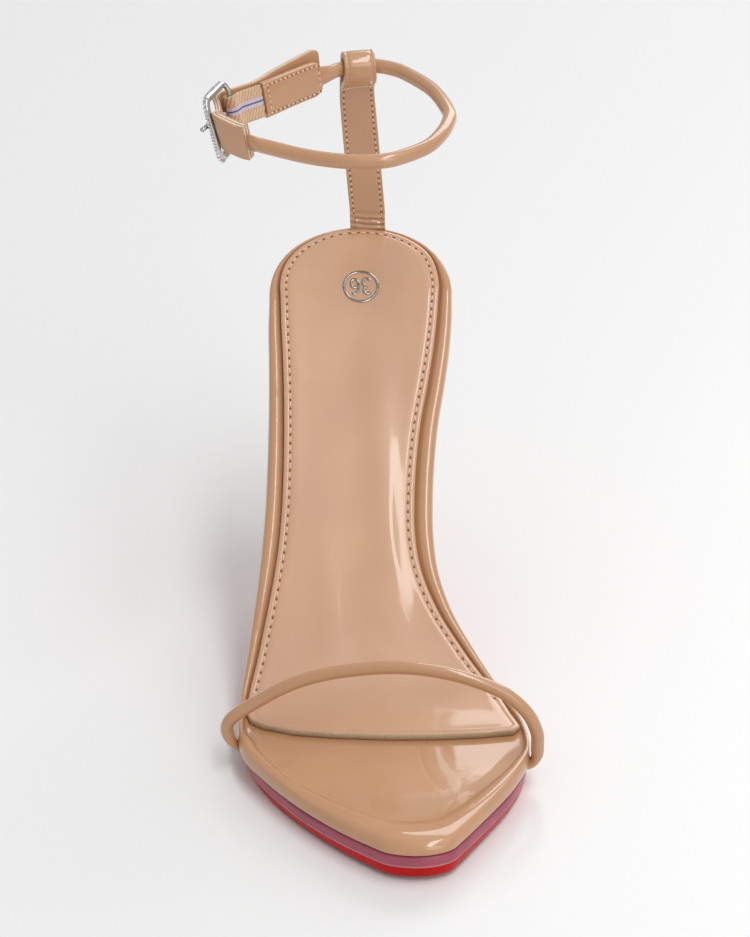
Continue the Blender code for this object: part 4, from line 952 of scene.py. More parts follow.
# Finishes: material, colour setting and recipe
FINISHES = {
    # Calf leather under a poured polyurethane coat: deep even colour, mirror-like gloss, and
    # only a faint swell of the leather below
    "patent": (
        "nude_patent_leather", "patent",
        {"Roughness": 0.42, "Coat Weight": 1.0, "Coat Roughness": 0.04, "Coat IOR": 1.5},
        (22.0 * MM, 2.0, 0.035), (3.4 * MM, 3.0, 0.008 * MM),
    ),
    # Smooth finished sheep leather: a waxy gloss that breaks up in fine pores, and a cloudy
    # dye. Real pores are 0.15 mm apart; drawn at 0.45 mm so that they show in the render
    "lining": (
        "smooth_lining_leather", "lining", {"Coat Weight": 0.75, "Coat Roughness": 0.08},
        (30.0 * MM, 2.0, 0.05), (0.45 * MM, 3.0, 0.016 * MM),
    ),
    "cut": ("cut_sock_edge", "cut_edge", *CUT),
    "split": ("cut_strap_edge", "split", *CUT),
    # A needle hole's dark colour is painted shade, put on a small body instead of a hole; the same
    # colour marks the lines between a strap's layers
    "needle": ("needle_hole_leather", "needle", *CUT),
    "band": ("waxed_sole_edge", "edge_band", *WAXED),
    "line": ("waxed_edge_line", "edge_line", *WAXED),
    # Leather sole sprayed with a satin lacquer: even red that stays deep at a low angle
    "lacquer": (
        "red_lacquered_leather", "lacquer", {"Roughness": 0.34, "Specular IOR Level": 0.2},
        (14.0 * MM, 3.0, 0.10), (1.6 * MM, 2.0, 0.012 * MM),
    ),
    # Moulded polyurethane: matt, with a fine cast grain
    "rubber": (
        "moulded_top_piece", "rubber", {"Roughness": 0.6},
        (0.5 * MM, 3.0, 0.06), (0.5 * MM, 3.0, 0.03 * MM),
    ),
    "thread": ("waxed_nylon_thread", "thread", *SPUN),
    "webbing": ("covered_rubber_webbing", "webbing", *SPUN),
    "core": ("webbing_core_yarn", "webbing_core", *SPUN),
    "dark_yarn": ("dark_core_yarn", "webbing_line", *SPUN),
    # Painted shade: a darker colour for the faces in the grooves between the elastic's ribs
    "painted_groove_shade": ("shaded_rib_yarn", "webbing_groove", *SPUN),
    "silver": ("silver_plated_casting", "silver", *PLATED),
    "foil": ("hot_stamped_foil", "foil", *PLATED),
    # Foil-backed glass stones, faceted by their own mesh: they flash light and dark
    "stone": (
        "foil_backed_crystal", "stone",
        {"Metallic": 0.85, "Roughness": 0.06, "Coat Weight": 1.0, "Coat Roughness": 0.02},
        (1.2 * MM, 1.0, 0.30), (1.2 * MM, 1.0, 0.001 * MM),
    ),
    # Satin lacquered board: even pale tone with a very soft reflection
    "floor": (
        "pale_studio_board", "floor",
        {"Roughness": 0.5, "Coat Weight": 0.35, "Coat Roughness": 0.22},
        (400.0 * MM, 2.0, 0.003), (60.0 * MM, 1.0, 0.002 * MM),
    ),
}

# Cords' closing seam: depth as a share of the radius, half width as an angle
SEAM_DEPTH = 0.07
SEAM_HALF_ANGLE = 0.16

# Angles in degrees above which an edge is drawn sharp
CORD_SHARPNESS = 60.0
STRAP_SHARPNESS = 55.0
SOLE_SHARPNESS = 50.0
TIP_SHARPNESS = 40.0
STONE_SHARPNESS = 10.0

# Top piece from the heel down to the floor: height as a share of its own, and inset
TIP_SECTION = (
    (0.0, TIP_CHAMFER * 1.5), (TIP_CHAMFER * 0.4 / TIP_HEIGHT, TIP_CHAMFER * 0.4),
    (TIP_CHAMFER * 1.5 / TIP_HEIGHT, 0.0), (0.45, 0.0), (0.5, 0.12 * MM), (0.55, 0.0), (1.0, 0.0),
)

# Stitches: the thread's half length as a share of the pitch and its half height as a share
# of its width, then the same for a needle hole, a small body in painted shade
THREAD_SHAPE = (0.34, 0.42)
HOLE_SHAPE = (0.16, 0.25)
STITCH_SIDES = 8

FOIL_LIFT = 0.16 * MM
FOIL_THICKNESS = 0.05 * MM
DIGIT_STEP = 0.3 * MM
NUMBER_RING_SIDES = 64
STONE_SINK = 0.12 * MM
STONE_SIDES = 6
STONES_FROM = BUCKLE_CORNER * 0.8
STONES_REACH = pi * 0.44

# Elastic: its slanted ribs, with painted shade on the faces in the grooves between them, and the
# smooth core with a dark line along its middle
ELASTIC_STEPS = 40
ELASTIC_RIB_PITCH = 1.15 * MM
ELASTIC_RIB_DEPTH = 0.16 * MM
ELASTIC_SLANT = 0.45
ELASTIC_LINE_HALF = 0.22 * MM
ELASTIC_CORE_HALF = 1.2 * MM
ELASTIC_CORE_BLEND = 1.7 * MM
ELASTIC_EDGE_STEEPNESS = 12.0
ELASTIC_EDGE_START = 0.25
ELASTIC_STEP = 0.2 * MM
ELASTIC_GROOVE_BELOW = -0.35

# Flat straps: face points' distance from the edge, stitch inset, crown, and two kinds of
# edge from its middle to the face, as a share of the half thickness, dip and finish
FACE_POINTS = (0.55 * MM, 0.8 * MM, 0.95 * MM, 1.1 * MM, 1.25 * MM, 1.4 * MM, 1.7 * MM, 2.4 * MM,
               3.4 * MM, 9.0 * MM)
STRAP_STITCH_INSET = 1.1 * MM
STRAP_CROWN = 0.10 * MM
STITCH_GROOVE = 0.16 * MM
STITCH_SINK = 0.05 * MM
GROOVE_WIDTH = 0.3 * MM
PATCH_STITCH_ENDS = (1.5 * MM, 1.4 * MM)
PATCH_FOLD = 1.2 * MM
PATCH_THINNEST = 0.7
FOLDED_EDGE = (
    (0.00, 0.00 * MM, 0), (0.45, 0.03 * MM, 0), (0.75, 0.12 * MM, 0), (0.93, 0.28 * MM, 0),
)
CUT_EDGE = (
    (0.00, 0.12 * MM, 2), (0.10, 0.10 * MM, 1), (0.16, 0.00 * MM, 1), (0.56, 0.00 * MM, 1),
    (0.60, 0.08 * MM, 2), (0.68, 0.08 * MM, 0), (0.74, 0.00 * MM, 0), (0.90, 0.05 * MM, 0),
    (0.99, 0.22 * MM, 0),
)
# Layers across a cut end, one face to the other: shares of the thickness, and the finishes
# of the strips between them
LAYER_SHARES = (0.16, 0.20, 0.45, 0.55, 0.80, 0.84)
LAYER_FINISHES = (0, 2, 1, 2, 1, 2, 0)

# Size number on the sock: its oval ring's half widths across and along, and its digits
NUMBER_ACROSS = 1.9 * MM
NUMBER_ALONG = 26.7 * MM
NUMBER_RING = (5.25 * MM, 6.0 * MM)
NUMBER_HALF_HEIGHT = 3.0 * MM
NUMBER_HALF_WIDTH = 1.35 * MM
NUMBER_SPREAD = 1.85 * MM
THREE = (
    (-0.85, 0.78), (-0.30, 1.00), (0.45, 0.94), (0.78, 0.52), (0.40, 0.12), (-0.15, 0.03),
    (0.50, -0.06), (0.90, -0.48), (0.50, -0.94), (-0.30, -1.00), (-0.92, -0.74),
)
SIX = (
    (0.75, 0.84), (0.20, 1.00), (-0.50, 0.72), (-0.84, 0.05), (-0.78, -0.60), (-0.15, -1.00),
    (0.60, -0.86), (0.86, -0.42), (0.60, 0.02), (0.00, 0.14), (-0.60, -0.10), (-0.80, -0.40),
)


def hex_colour(text):
    """Linear red, green, blue and alpha of an sRGB hex colour."""
    channels = [int(text[place:place + 2], 16) / 255.0 for place in (0, 2, 4)]
    linear = [c / 12.92 if c <= 0.04045 else ((c + 0.055) / 1.055) ** 2.4 for c in channels]
    return (*linear, 1.0)


def colour_setting(name, description, text):
    return FloatVectorProperty(
        name=name, description=description, subtype="COLOR", size=4,
        min=0.0, max=1.0, default=hex_colour(text),
    )


def length_setting(name, description, default):
    return FloatProperty(
        name=name, description=description, unit="LENGTH", default=default, min=0.0
    )


class SandalColours(bpy.types.PropertyGroup):
    patent: colour_setting("Patent leather", "Nude patent leather of rim and straps", "C29068")
    lining: colour_setting("Sock leather", "Pinkish nude leather under the foot", "D0A281")
    cut_edge: colour_setting("Cut edge", "Raw edge of the sock and of its board", "C4B090")
    split: colour_setting("Split leather", "Pale cut edge of the straps' layers", "E4CDB4")
    edge_band: colour_setting("Edge band", "Polished edge of the outsole", "A85264")
    edge_line: colour_setting("Edge line", "Pale line under the edge band", "B9787C")
    lacquer: colour_setting("Sole lacquer", "Red lacquer of the outsole", "C00808")
    rubber: colour_setting("Top piece", "Rubber under the heel", "A97F5E")
    thread: colour_setting("Thread", "Nylon sewing thread", "E3C2A2")
    # Painted shade of a needle hole, also used for the lines between the straps' layers
    needle: colour_setting("Needle hole", "Dark inside of a needle hole", "8E5F42")
    webbing: colour_setting("Elastic", "Ribs of the elastic", "D8B795")
    # Painted shade in the grooves between the elastic's ribs
    webbing_groove: colour_setting("Elastic groove", "Yarn between the ribs", "A9805C")
    webbing_core: colour_setting("Elastic core", "Smooth middle band of the elastic", "C9BCD2")
    webbing_line: colour_setting("Elastic line", "Dark line along the elastic", "5C5468")
    silver: colour_setting("Silver plating", "Buckle frame and prong", "C9C9C8")
    stone: colour_setting("Crystal", "Pavé stones set on the buckle", "E8E8EA")
    foil: colour_setting("Foil", "Silver foil of the size number", "A7A4A0")
    floor: colour_setting("Floor", "Pale studio floor", "EFEFEF")


class SandalSizes(bpy.types.PropertyGroup):
    sock_pitch: length_setting("Sock stitch", "Pitch of the stitches in the sock", 2.87 * MM)
    strap_pitch: length_setting("Strap stitch", "Pitch of the stitches in the straps", 1.85 * MM)
    thread_width: length_setting("Thread width", "Width of the sewing thread", 0.6 * MM)
    hole_width: length_setting("Needle hole", "Width of a needle hole", 0.8 * MM)
    foil_width: length_setting("Foil stroke", "Stroke width of the size number", 0.75 * MM)
    stone_size: length_setting("Stone size", "Width of a pavé stone on the buckle", 1.0 * MM)
    stone_rows: IntProperty(
        name="Stone rows", description="Rows of pavé stones", default=2, min=1, max=3
    )


def add(tree, kind, inputs=(), **settings):
    """A node with its settings, its inputs set to values or linked to (node, output)."""
    made = tree.nodes.new(kind)
    for name, value in settings.items():
        setattr(made, name, value)
    for name, value in dict(inputs).items():
        if isinstance(value, tuple) and isinstance(value[0], bpy.types.Node):
            tree.links.new(value[0].outputs[value[1]], made.inputs[name])
        else:
            made.inputs[name].default_value = value
    return made


def surface(name, colour, shader_values, tone, relief):
    """A material whose colour wavers with one noise while its surface swells with another.

    tone is the noise's size, detail and share of the colour; relief is its size, detail and
    height. Sizes and heights are in metres on the object, the same from every side."""
    material = bpy.data.materials.new(name)
    material.use_nodes = True
    tree = material.node_tree
    shader = tree.nodes["Principled BSDF"]
    for socket, value in shader_values.items():
        shader.inputs[socket].default_value = value
    place = add(tree, "ShaderNodeTexCoord")
    size, detail, depth = tone
    cloud = add(tree, "ShaderNodeTexNoise", {
        "Vector": (place, "Object"), "Scale": 1.0 / size, "Detail": detail,
    })
    share = add(tree, "ShaderNodeMapRange", {
        "Value": (cloud, "Fac"), "From Min": NOISE_LOW, "From Max": NOISE_HIGH,
        "To Min": 1.0 - depth, "To Max": 1.0 + depth,
    })
    tint = add(tree, "ShaderNodeHueSaturation", {"Color": colour, "Value": (share, "Result")})
    size, detail, height = relief
    grain = add(tree, "ShaderNodeTexNoise", {
        "Vector": (place, "Object"), "Scale": 1.0 / size, "Detail": detail,
    })
    swell = add(tree, "ShaderNodeBump", {"Height": (grain, "Fac"), "Distance": height})
    tree.links.new(tint.outputs["Color"], shader.inputs["Base Color"])
    tree.links.new(swell.outputs["Normal"], shader.inputs["Normal"])
    return material


def finish_named(kind):
    """The material of a finish, made once."""
    name, setting, values, tone, relief = FINISHES[kind]
    found = bpy.data.materials.get(name)
    if found is not None:
        return found
    colour = tuple(getattr(bpy.context.scene.sandal_colours, setting))
    made = surface(name, colour, values, tone, relief)
    if kind == "patent":
        swell_coat(made)
    if kind == "lining":
        rub(made)
    return made


def swell_coat(material):
    """Lets the patent coat follow the swell of the leather, so that its gloss wavers too."""
    tree = material.node_tree
    swell = next(node for node in tree.nodes if node.bl_idname == "ShaderNodeBump")
    tree.links.new(swell.outputs["Normal"], tree.nodes["Principled BSDF"].inputs["Coat Normal"])


def rub(material):
    """Broadly uneven roughness, where the foot has polished the sock."""
    tree = material.node_tree
    place = add(tree, "ShaderNodeTexCoord")
    rubbed = add(tree, "ShaderNodeTexNoise", {
        "Vector": (place, "Object"), "Scale": 1.0 / RUB_SIZE,
    })
    sheen = add(tree, "ShaderNodeMapRange", {
        "Value": (rubbed, "Fac"), "From Min": NOISE_LOW, "From Max": NOISE_HIGH,
        "To Min": RUB_ROUGHNESS[0], "To Max": RUB_ROUGHNESS[1],
    })
    tree.links.new(sheen.outputs["Result"], tree.nodes["Principled BSDF"].inputs["Roughness"])


def new_piece(name, shape, finishes, nodes=()):
    """An object from a bmesh, riding the root body and standing for CAD nodes."""
    bmesh.ops.recalc_face_normals(shape, faces=shape.faces)
    mesh = bpy.data.meshes.new(name)
    shape.to_mesh(mesh)
    shape.free()
    mesh.shade_smooth()
    for kind in finishes:
        mesh.materials.append(finish_named(kind))
    made = bpy.data.objects.new(name, mesh)
    bpy.context.scene.collection.objects.link(made)
    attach(made, "root")
    if nodes:
        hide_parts(*nodes)
    return made


def sharpen(piece, degrees):
    piece.data.set_sharp_from_angle(angle=radians(degrees))


def skin(rings, closed=False, caps=True, across=None, finish=None):
    """A bmesh through like rings. across bridges each end ring side to side, the first point
    alone at its tip where it is "tipped"; finish gives the material index of a face."""
    shape = bmesh.new()
    vertices = [[shape.verts.new(point) for point in ring] for ring in rings]
    count = len(rings[0])
    spans = len(rings) if closed else len(rings) - 1
    for level in range(spans):
        low, high = vertices[level], vertices[(level + 1) % len(rings)]
        for i in range(count):
            after = (i + 1) % count
            face = shape.faces.new((low[i], low[after], high[after], high[i]))
            face.material_index = finish(level, i) if finish else 0
    if not closed and across:
        for level in (0, len(rings) - 1):
            for corners in bridge(count, across == "tipped"):
                shape.faces.new([vertices[level][corner] for corner in corners])
    elif not closed and caps:
        for level in (0, len(rings) - 1):
            face = shape.faces.new(vertices[level])
            face.material_index = finish(min(level, spans - 1), 0) if finish else 0
    return shape


def bridge(count, tipped):
    """Corner numbers of the faces that close a ring by joining its two sides."""
    low, high = (1, count - 1) if tipped else (0, count - 1)
    pairs = []
    while low < high:
        pairs.append((low, high))
        low += 1
        high -= 1
    faces = [(a[0], b[0], b[1], a[1]) for a, b in zip(pairs, pairs[1:])]
    if tipped:
        faces.insert(0, (0, pairs[0][0], pairs[0][1]))
    if low == high:
        faces.append((pairs[-1][0], low, pairs[-1][1]))
    return faces


def smoothed(rings, pieces):
    """More rings between the given ones, each point on a smooth curve."""
    ends = [rings[0]] + list(rings) + [rings[-1]]
    result = []
    for before, start, end, after in zip(ends, ends[1:], ends[2:], ends[3:]):
        for piece in range(pieces):
            t = piece / pieces
            result.append([
                curve_point(*corners, t) for corners in zip(before, start, end, after)
            ])
    result.append(list(rings[-1]))
    return result


def bell(offset, width):
    return exp(-(offset / width) ** 2)


def window(value, start, end):
    """Rises from zero at start and falls back to zero at end."""
    t = (value - start) / (end - start)
    return sin(pi * t) ** 2 if 0.0 < t < 1.0 else 0.0


def sock_relief(point):
    """Cup under the heel and the soft ridges along the arch, zero at the sock's edge."""
    share = point.y / FOOTBED_LENGTH
    middle = spine(point.y).x
    half = side_edge("medial", max(point.y, OUTLINE[0][0] * FOOTBED_LENGTH)) - middle
    inwards = max(0.0, 1.0 - ((point.x - middle) / half) ** 2)
    cup = SOCK_CUP * inwards * max(0.0, 1.0 - (share / SOCK_CUP_END) ** 2)
    height = -cup
    for across, width, rise, start, end in SOCK_RIDGES:
        height += rise * window(share, start, end) * bell(point.x - across, width)
    return height * min(1.0, SOCK_EDGE_FADE * inwards)


def footbed_rings():
    """Rings of the wrapped footbed, from its underside over the rim into the well."""
    edge = outline()
    rings = []
    for depth, share, height, base in RIM_SECTION:
        lift = base + height
        ring = []
        for point in edge:
            moved = inset(point, depth + share * rim_width(point))
            ring.append(LAST.place(moved.x, moved.y, lift))
        rings.append(ring)
    rings = smoothed(rings, SMOOTH_BETWEEN)
    last_inset = RIM_SECTION[-1][0]
    for share in WELL_SHARES:
        ring = []
        for point in edge:
            start = inset(point, last_inset + rim_width(point))
            moved = start.lerp(spine(point.y), share)
            ring.append(LAST.place(moved.x, moved.y, WELL_FLOOR))
        rings.append(ring)
    return rings


def build_footbed():
    shape = skin(footbed_rings(), across="tipped")
    new_piece("footbed_wrap", shape, ["patent"], ["footbed"])


def sock_goals(edge):
    """Places on the sock's middle line that the points of its edge are drawn in to: those of
    the sides lie across from them or a little behind, those of the front fan out before."""
    sides_end = SOCK_SIDES_END * FOOTBED_LENGTH
    fanned = [i for i, (point, _) in enumerate(edge) if point.y > sides_end]
    goals = []
    for i, (point, _) in enumerate(edge):
        if i in fanned:
            share = (i - fanned[0] + 1) / (len(fanned) + 1)
            goals.append(spine(sides_end - SOCK_FAN * abs(2.0 * share - 1.0)))
        else:
            goals.append(spine(point.y * (1.0 - SOCK_FAN / sides_end)))
    return goals


def sock_rings():
    """Rings of the sock from its underside up and in to its middle."""
    edge = sock_outline()
    goals = sock_goals(edge)
    rings = []
    for depth, height in SOCK_SECTION:
        ring = []
        for point, way in edge:
            moved = point + way * depth
            ring.append(LAST.place(moved.x, moved.y, height))
        rings.append(ring)
    last_inset, last_height = SOCK_SECTION[-1]
    for share in SOCK_SHARES:
        ring = []
        for (point, way), goal in zip(edge, goals):
            moved = (point + way * last_inset).lerp(goal, share)
            height = last_height * (1.0 - share) + sock_relief(moved)
            ring.append(LAST.place(moved.x, moved.y, height))
        rings.append(ring)
    return rings


def build_sock():
    edge = sock_outline()
    sides_end = SOCK_SIDES_END * FOOTBED_LENGTH
    front = [point.y > sides_end for point, _ in edge]

    def finish(level, i):
        return 1 if level < 2 and front[i] and front[(i + 1) % len(front)] else 0

    shape = skin(sock_rings(), across="tipped", finish=finish)
    new_piece("insole_sock_leather", shape, ["lining", "cut"], ["insole_sock"])
    line = sock_side_line(SOCK_STITCH_INSET)
    pitch = bpy.context.scene.sandal_sizes.sock_pitch
    stitches = [
        last_stitch((start + end) / 2.0, end - start)
        for start, end in zip(line[::2], line[2::2]) if (end - start).length > pitch / 4.0
    ]
    sew("sock_stitches", stitches)


def sock_side_line(depth):
    """Points half a stitch apart in the sock's own across and along, from its outer front
    corner round the heel to its inner one."""
    sides_end = SOCK_SIDES_END * FOOTBED_LENGTH
    sides = [point + way * depth for point, way in sock_outline() if point.y <= sides_end]
    medial = [point for point in sides if point.x > spine(point.y).x]
    lateral = [point for point in sides if point.x <= spine(point.y).x]
    lateral.sort(key=lambda point: -point.y)
    medial.sort(key=lambda point: point.y)
    line = [Vector((point.x, point.y, 0.0)) for point in lateral + medial]
    half = bpy.context.scene.sandal_sizes.sock_pitch / 2.0
    return path_between(line, 0.0, distances(line)[-1], half)


def last_stitch(middle, way):
    """Centre, direction and normal in the world of a stitch on the sock."""
    centre = LAST.place(middle.x, middle.y, 0.0)
    above = LAST.place(middle.x, middle.y, MM)
    ahead = middle + way.normalized() * MM
    return centre, LAST.place(ahead.x, ahead.y, 0.0) - centre, above - centre


def ellipsoid(shape, centre, axes, sizes, segments, index):
    """A small rounded body with three half sizes along three axes."""
    basis = Matrix([axis.normalized() for axis in axes]).transposed().to_4x4()
    scale = Matrix.Diagonal((*sizes, 1.0))
    matrix = Matrix.Translation(centre) @ basis @ scale
    made = bmesh.ops.create_uvsphere(
        shape, u_segments=segments, v_segments=segments // 2 + 1, radius=1.0, matrix=matrix
    )
    faces = {face for vertex in made["verts"] for face in vertex.link_faces}
    for face in faces:
        face.material_index = index


def sew(name, stitches, pitch=None):
    """One piece with a sunk thread and a needle hole for every stitch; the hole is a small body
    whose dark colour is painted shade.
    """
    sizes = bpy.context.scene.sandal_sizes
    pitch = pitch or sizes.sock_pitch
    shape = bmesh.new()
    for centre, way, normal in stitches:
        way = way.normalized()
        normal = (normal - way * normal.dot(way)).normalized()
        side = normal.cross(way)
        hole = centre + way * pitch * 0.5
        bodies = (
            (centre, THREAD_SHAPE, sizes.thread_width), (hole, HOLE_SHAPE, sizes.hole_width),
        )
        for index, (middle, (length, height), width) in enumerate(bodies):
            halves = (pitch * length, width / 2.0, width * height)
            ellipsoid(shape, middle, (way, side, normal), halves, STITCH_SIDES, index)
    return new_piece(name, shape, ["thread", "needle"])


def build_number():
    """Size number in a ring, stamped in silver foil and read from the heel."""
    width = bpy.context.scene.sandal_sizes.foil_width
    wide, tall = NUMBER_HALF_WIDTH, NUMBER_HALF_HEIGHT
    lines = []
    for stroke, middle in ((THREE, -NUMBER_SPREAD), (SIX, NUMBER_SPREAD)):
        corners = [Vector((middle + x * wide, y * tall, 0.0)) for x, y in stroke]
        lines.append(spline(corners, DIGIT_STEP))
    turns = [tau * step / NUMBER_RING_SIDES for step in range(NUMBER_RING_SIDES + 1)]
    across, along = NUMBER_RING
    lines.append([Vector((across * cos(turn), along * sin(turn), 0.0)) for turn in turns])
    shape = bmesh.new()
    for line in lines:
        pairs = []
        for point, way in zip(line, tangents(line)):
            side = Vector((-way.y, way.x, 0.0)) * width / 2.0
            pair = []
            for place in (point + side, point - side):
                spot = Vector((NUMBER_ACROSS - place.x, NUMBER_ALONG + place.y))
                lift = sock_relief(spot) + FOIL_LIFT
                pair.append(shape.verts.new(LAST.place(spot.x, spot.y, lift)))
            pairs.append(pair)
        for (a, b), (c, d) in zip(pairs, pairs[1:]):
            shape.faces.new((a, b, d, c))
    made = new_piece("size_number_foil", shape, ["foil"])
    modifier = made.modifiers.new("thickness", "SOLIDIFY")
    modifier.thickness = FOIL_THICKNESS
    modifier.offset = 1.0


def sole_rings():
    """Rings of the outsole and the finish below each."""
    start = HEEL_SEAT_LENGTH + GAP
    ends = [Vector((side_edge(side, start), start)) for side in ("medial", "lateral")]
    base = [point for point in outline() if point.y > start + SOLE_END_CLEARANCE]
    base = [ends[0]] + base + [ends[1]]
    rings, finishes = [], []
    for of_band, below, share, extra, finish in SOLE_SECTION:
        ring = []
        for point in base:
            thickness = sole_value("thickness", point.y)
            side, tread = sole_value("side", point.y), sole_value("tread", point.y)
            band = min(EDGE_BAND, 0.5 * thickness)
            depth = band * of_band + (thickness - band) * below
            reach = side + share * (tread - side) + extra
            way = spine(point.y) - point
            if point in ends:
                way.y = 0.0
            moved = point + way.normalized() * reach
            vertex = LAST.place(moved.x, moved.y, SOLE_TOP - depth)
            vertex.z = max(vertex.z, 0.0)
            ring.append(vertex)
        rings.append(ring)
        finishes.append(finish)
    return rings, finishes


def build_outsole():
    rings, finishes = sole_rings()
    kinds = ["band", "line", "lacquer"]
    shape = skin(
        rings, across="open", finish=lambda level, i: kinds.index(finishes[level])
    )
    shape.faces.ensure_lookup_table()
    for face in shape.faces[(len(rings) - 1) * len(rings[0]):]:
        face.material_index = kinds.index("lacquer")
    made = new_piece("outsole_leather", shape, kinds, ["outsole"])
    sharpen(made, SOLE_SHARPNESS)


def build_heel():
    rings = heel_rings()
    lower = smoothed(rings[1 + HEEL_CUP_STEPS:-1], SMOOTH_BETWEEN)
    shape = skin(rings[:1 + HEEL_CUP_STEPS] + lower + rings[-1:], caps=True)
    made = new_piece("heel_cover", shape, ["patent"], ["heel"])
    sharpen(made, SOLE_SHARPNESS)
    rings = [tip_section(TIP_HEIGHT * height, depth) for height, depth in TIP_SECTION]
    made = new_piece("heel_top_piece", skin(rings), ["rubber"], ["heel_tip"])
    sharpen(made, TIP_SHARPNESS)


def seamed(rings, depth):
    """A cord's sections with the shallow seam that closes the leather on one side."""
    result = []
    for ring in rings:
        centre = sum(ring, Vector()) / len(ring)
        moved = []
        for i, point in enumerate(ring):
            angle = tau * i / len(ring) - pi
            moved.append(point.lerp(centre, depth * bell(angle, SEAM_HALF_ANGLE)))
        result.append(moved)
    return result


def build_cord(name, node, rings):
    """A round cord with its closing seam."""
    shape = skin(seamed(rings, SEAM_DEPTH))
    made = new_piece(name, shape, ["patent"], [node])
    sharpen(made, CORD_SHARPNESS)


def flat_section(height, thickness, edge, groove):
    """Points round a flat strap's section, as high and wide, with a stitch groove near each
    edge and a slight crown on both faces, and the finish of the face after each point."""
    tall, thick = height / 2.0, thickness / 2.0
    quarter = []
    for level, dip, finish in edge:
        quarter.append((tall - dip, thick * level, finish))
    for from_edge in FACE_POINTS:
        high = tall - min(from_edge, tall)
        crown = STRAP_CROWN * (1.0 - (high / tall) ** 2)
        dip = groove * bell(from_edge - STRAP_STITCH_INSET, GROOVE_WIDTH)
        quarter.append((high, thick + crown - dip, 0))
    half = quarter + [(-high, wide, 0) for high, wide, _ in quarter[-2::-1]]
    points = [(high, wide) for high, wide, _ in half]
    points += [(high, -wide) for high, wide in points[-2:0:-1]]
    finishes = [finish for _, _, finish in quarter[:-1]]
    finishes += finishes[::-1]
    return points, finishes + finishes[::-1]


def layered_cap(shape, ring):
    """Closes a cut end between its two faces with the strap's layers side by side."""
    count = len(ring)
    columns = []
    for low in range(1, count // 2):
        near, far = ring[low], ring[count - low]
        between = [shape.verts.new(near.co.lerp(far.co, share)) for share in LAYER_SHARES]
        columns.append([near, *between, far])
    strips = list(zip(range(len(LAYER_FINISHES)), LAYER_FINISHES))
    for above, below in zip(columns, columns[1:]):
        for i, kind in strips:
            face = shape.faces.new((above[i], above[i + 1], below[i + 1], below[i]))
            face.material_index = kind
    for tip, column in ((ring[0], columns[0]), (ring[count // 2], columns[-1])):
        for i, kind in strips:
            shape.faces.new((tip, column[i], column[i + 1])).material_index = kind


def flat_strap(path, axes, height_at, thickness_at, edge, groove, adjust=None):
    """A bmesh of a flat strap along a path, its sections moved by adjust where it is given.
    A strap with cut edges shows its layers at both ends too."""
    rings = []
    for point, way, length in zip(path, tangents(path), distances(path)):
        up, out = axes(point, way)
        points, finishes = flat_section(height_at(length), thickness_at(length), edge, groove)
        rings.append([point + up * high + out * wide for high, wide in points])
    if adjust is not None:
        adjust(rings)
    cut = edge is CUT_EDGE
    across = None if cut else "tipped"
    shape = skin(rings, caps=False, across=across, finish=lambda level, i: finishes[i])
    if cut:
        shape.verts.ensure_lookup_table()
        count = len(rings[0])
        for first in (0, (len(rings) - 1) * count):
            layered_cap(shape, shape.verts[first:first + count])
            shape.verts.ensure_lookup_table()
    return shape


def strap_stitches(path, axes, height_at, thickness_at, side, pitch, start, end):
    """Stitches along both edges of a flat strap, on one face of it."""
    stitches = []
    lengths = distances(path)
    steps = max(1, round((end - start) / pitch))
    ways = tangents(path)
    for step in range(steps + 1):
        wanted = start + (end - start) * step / steps
        index = max(i for i, length in enumerate(lengths[:-1]) if length <= wanted + ROUNDING * MM)
        share = (wanted - lengths[index]) / max(lengths[index + 1] - lengths[index], TINY)
        point = path[index].lerp(path[index + 1], share)
        up, out = axes(point, ways[index])
        reach = side * (thickness_at(wanted) / 2.0 - STITCH_SINK)
        for edge in (1.0, -1.0):
            across = edge * (height_at(wanted) / 2.0 - STRAP_STITCH_INSET)
            stitches.append((point + up * across + out * reach, ways[index], out * side))
    return stitches


def back_strap_folds(height, offset):
    """Depth of the wrinkles at a height above the strap's foot and an offset across it."""
    slanted = height + WRINKLE_SLANT * offset - WRINKLE_SAG * (offset / BACK_STRAP_WIDTH) ** 2
    return sum(depth * bell(slanted - middle, width) for middle, depth, width in WRINKLES)


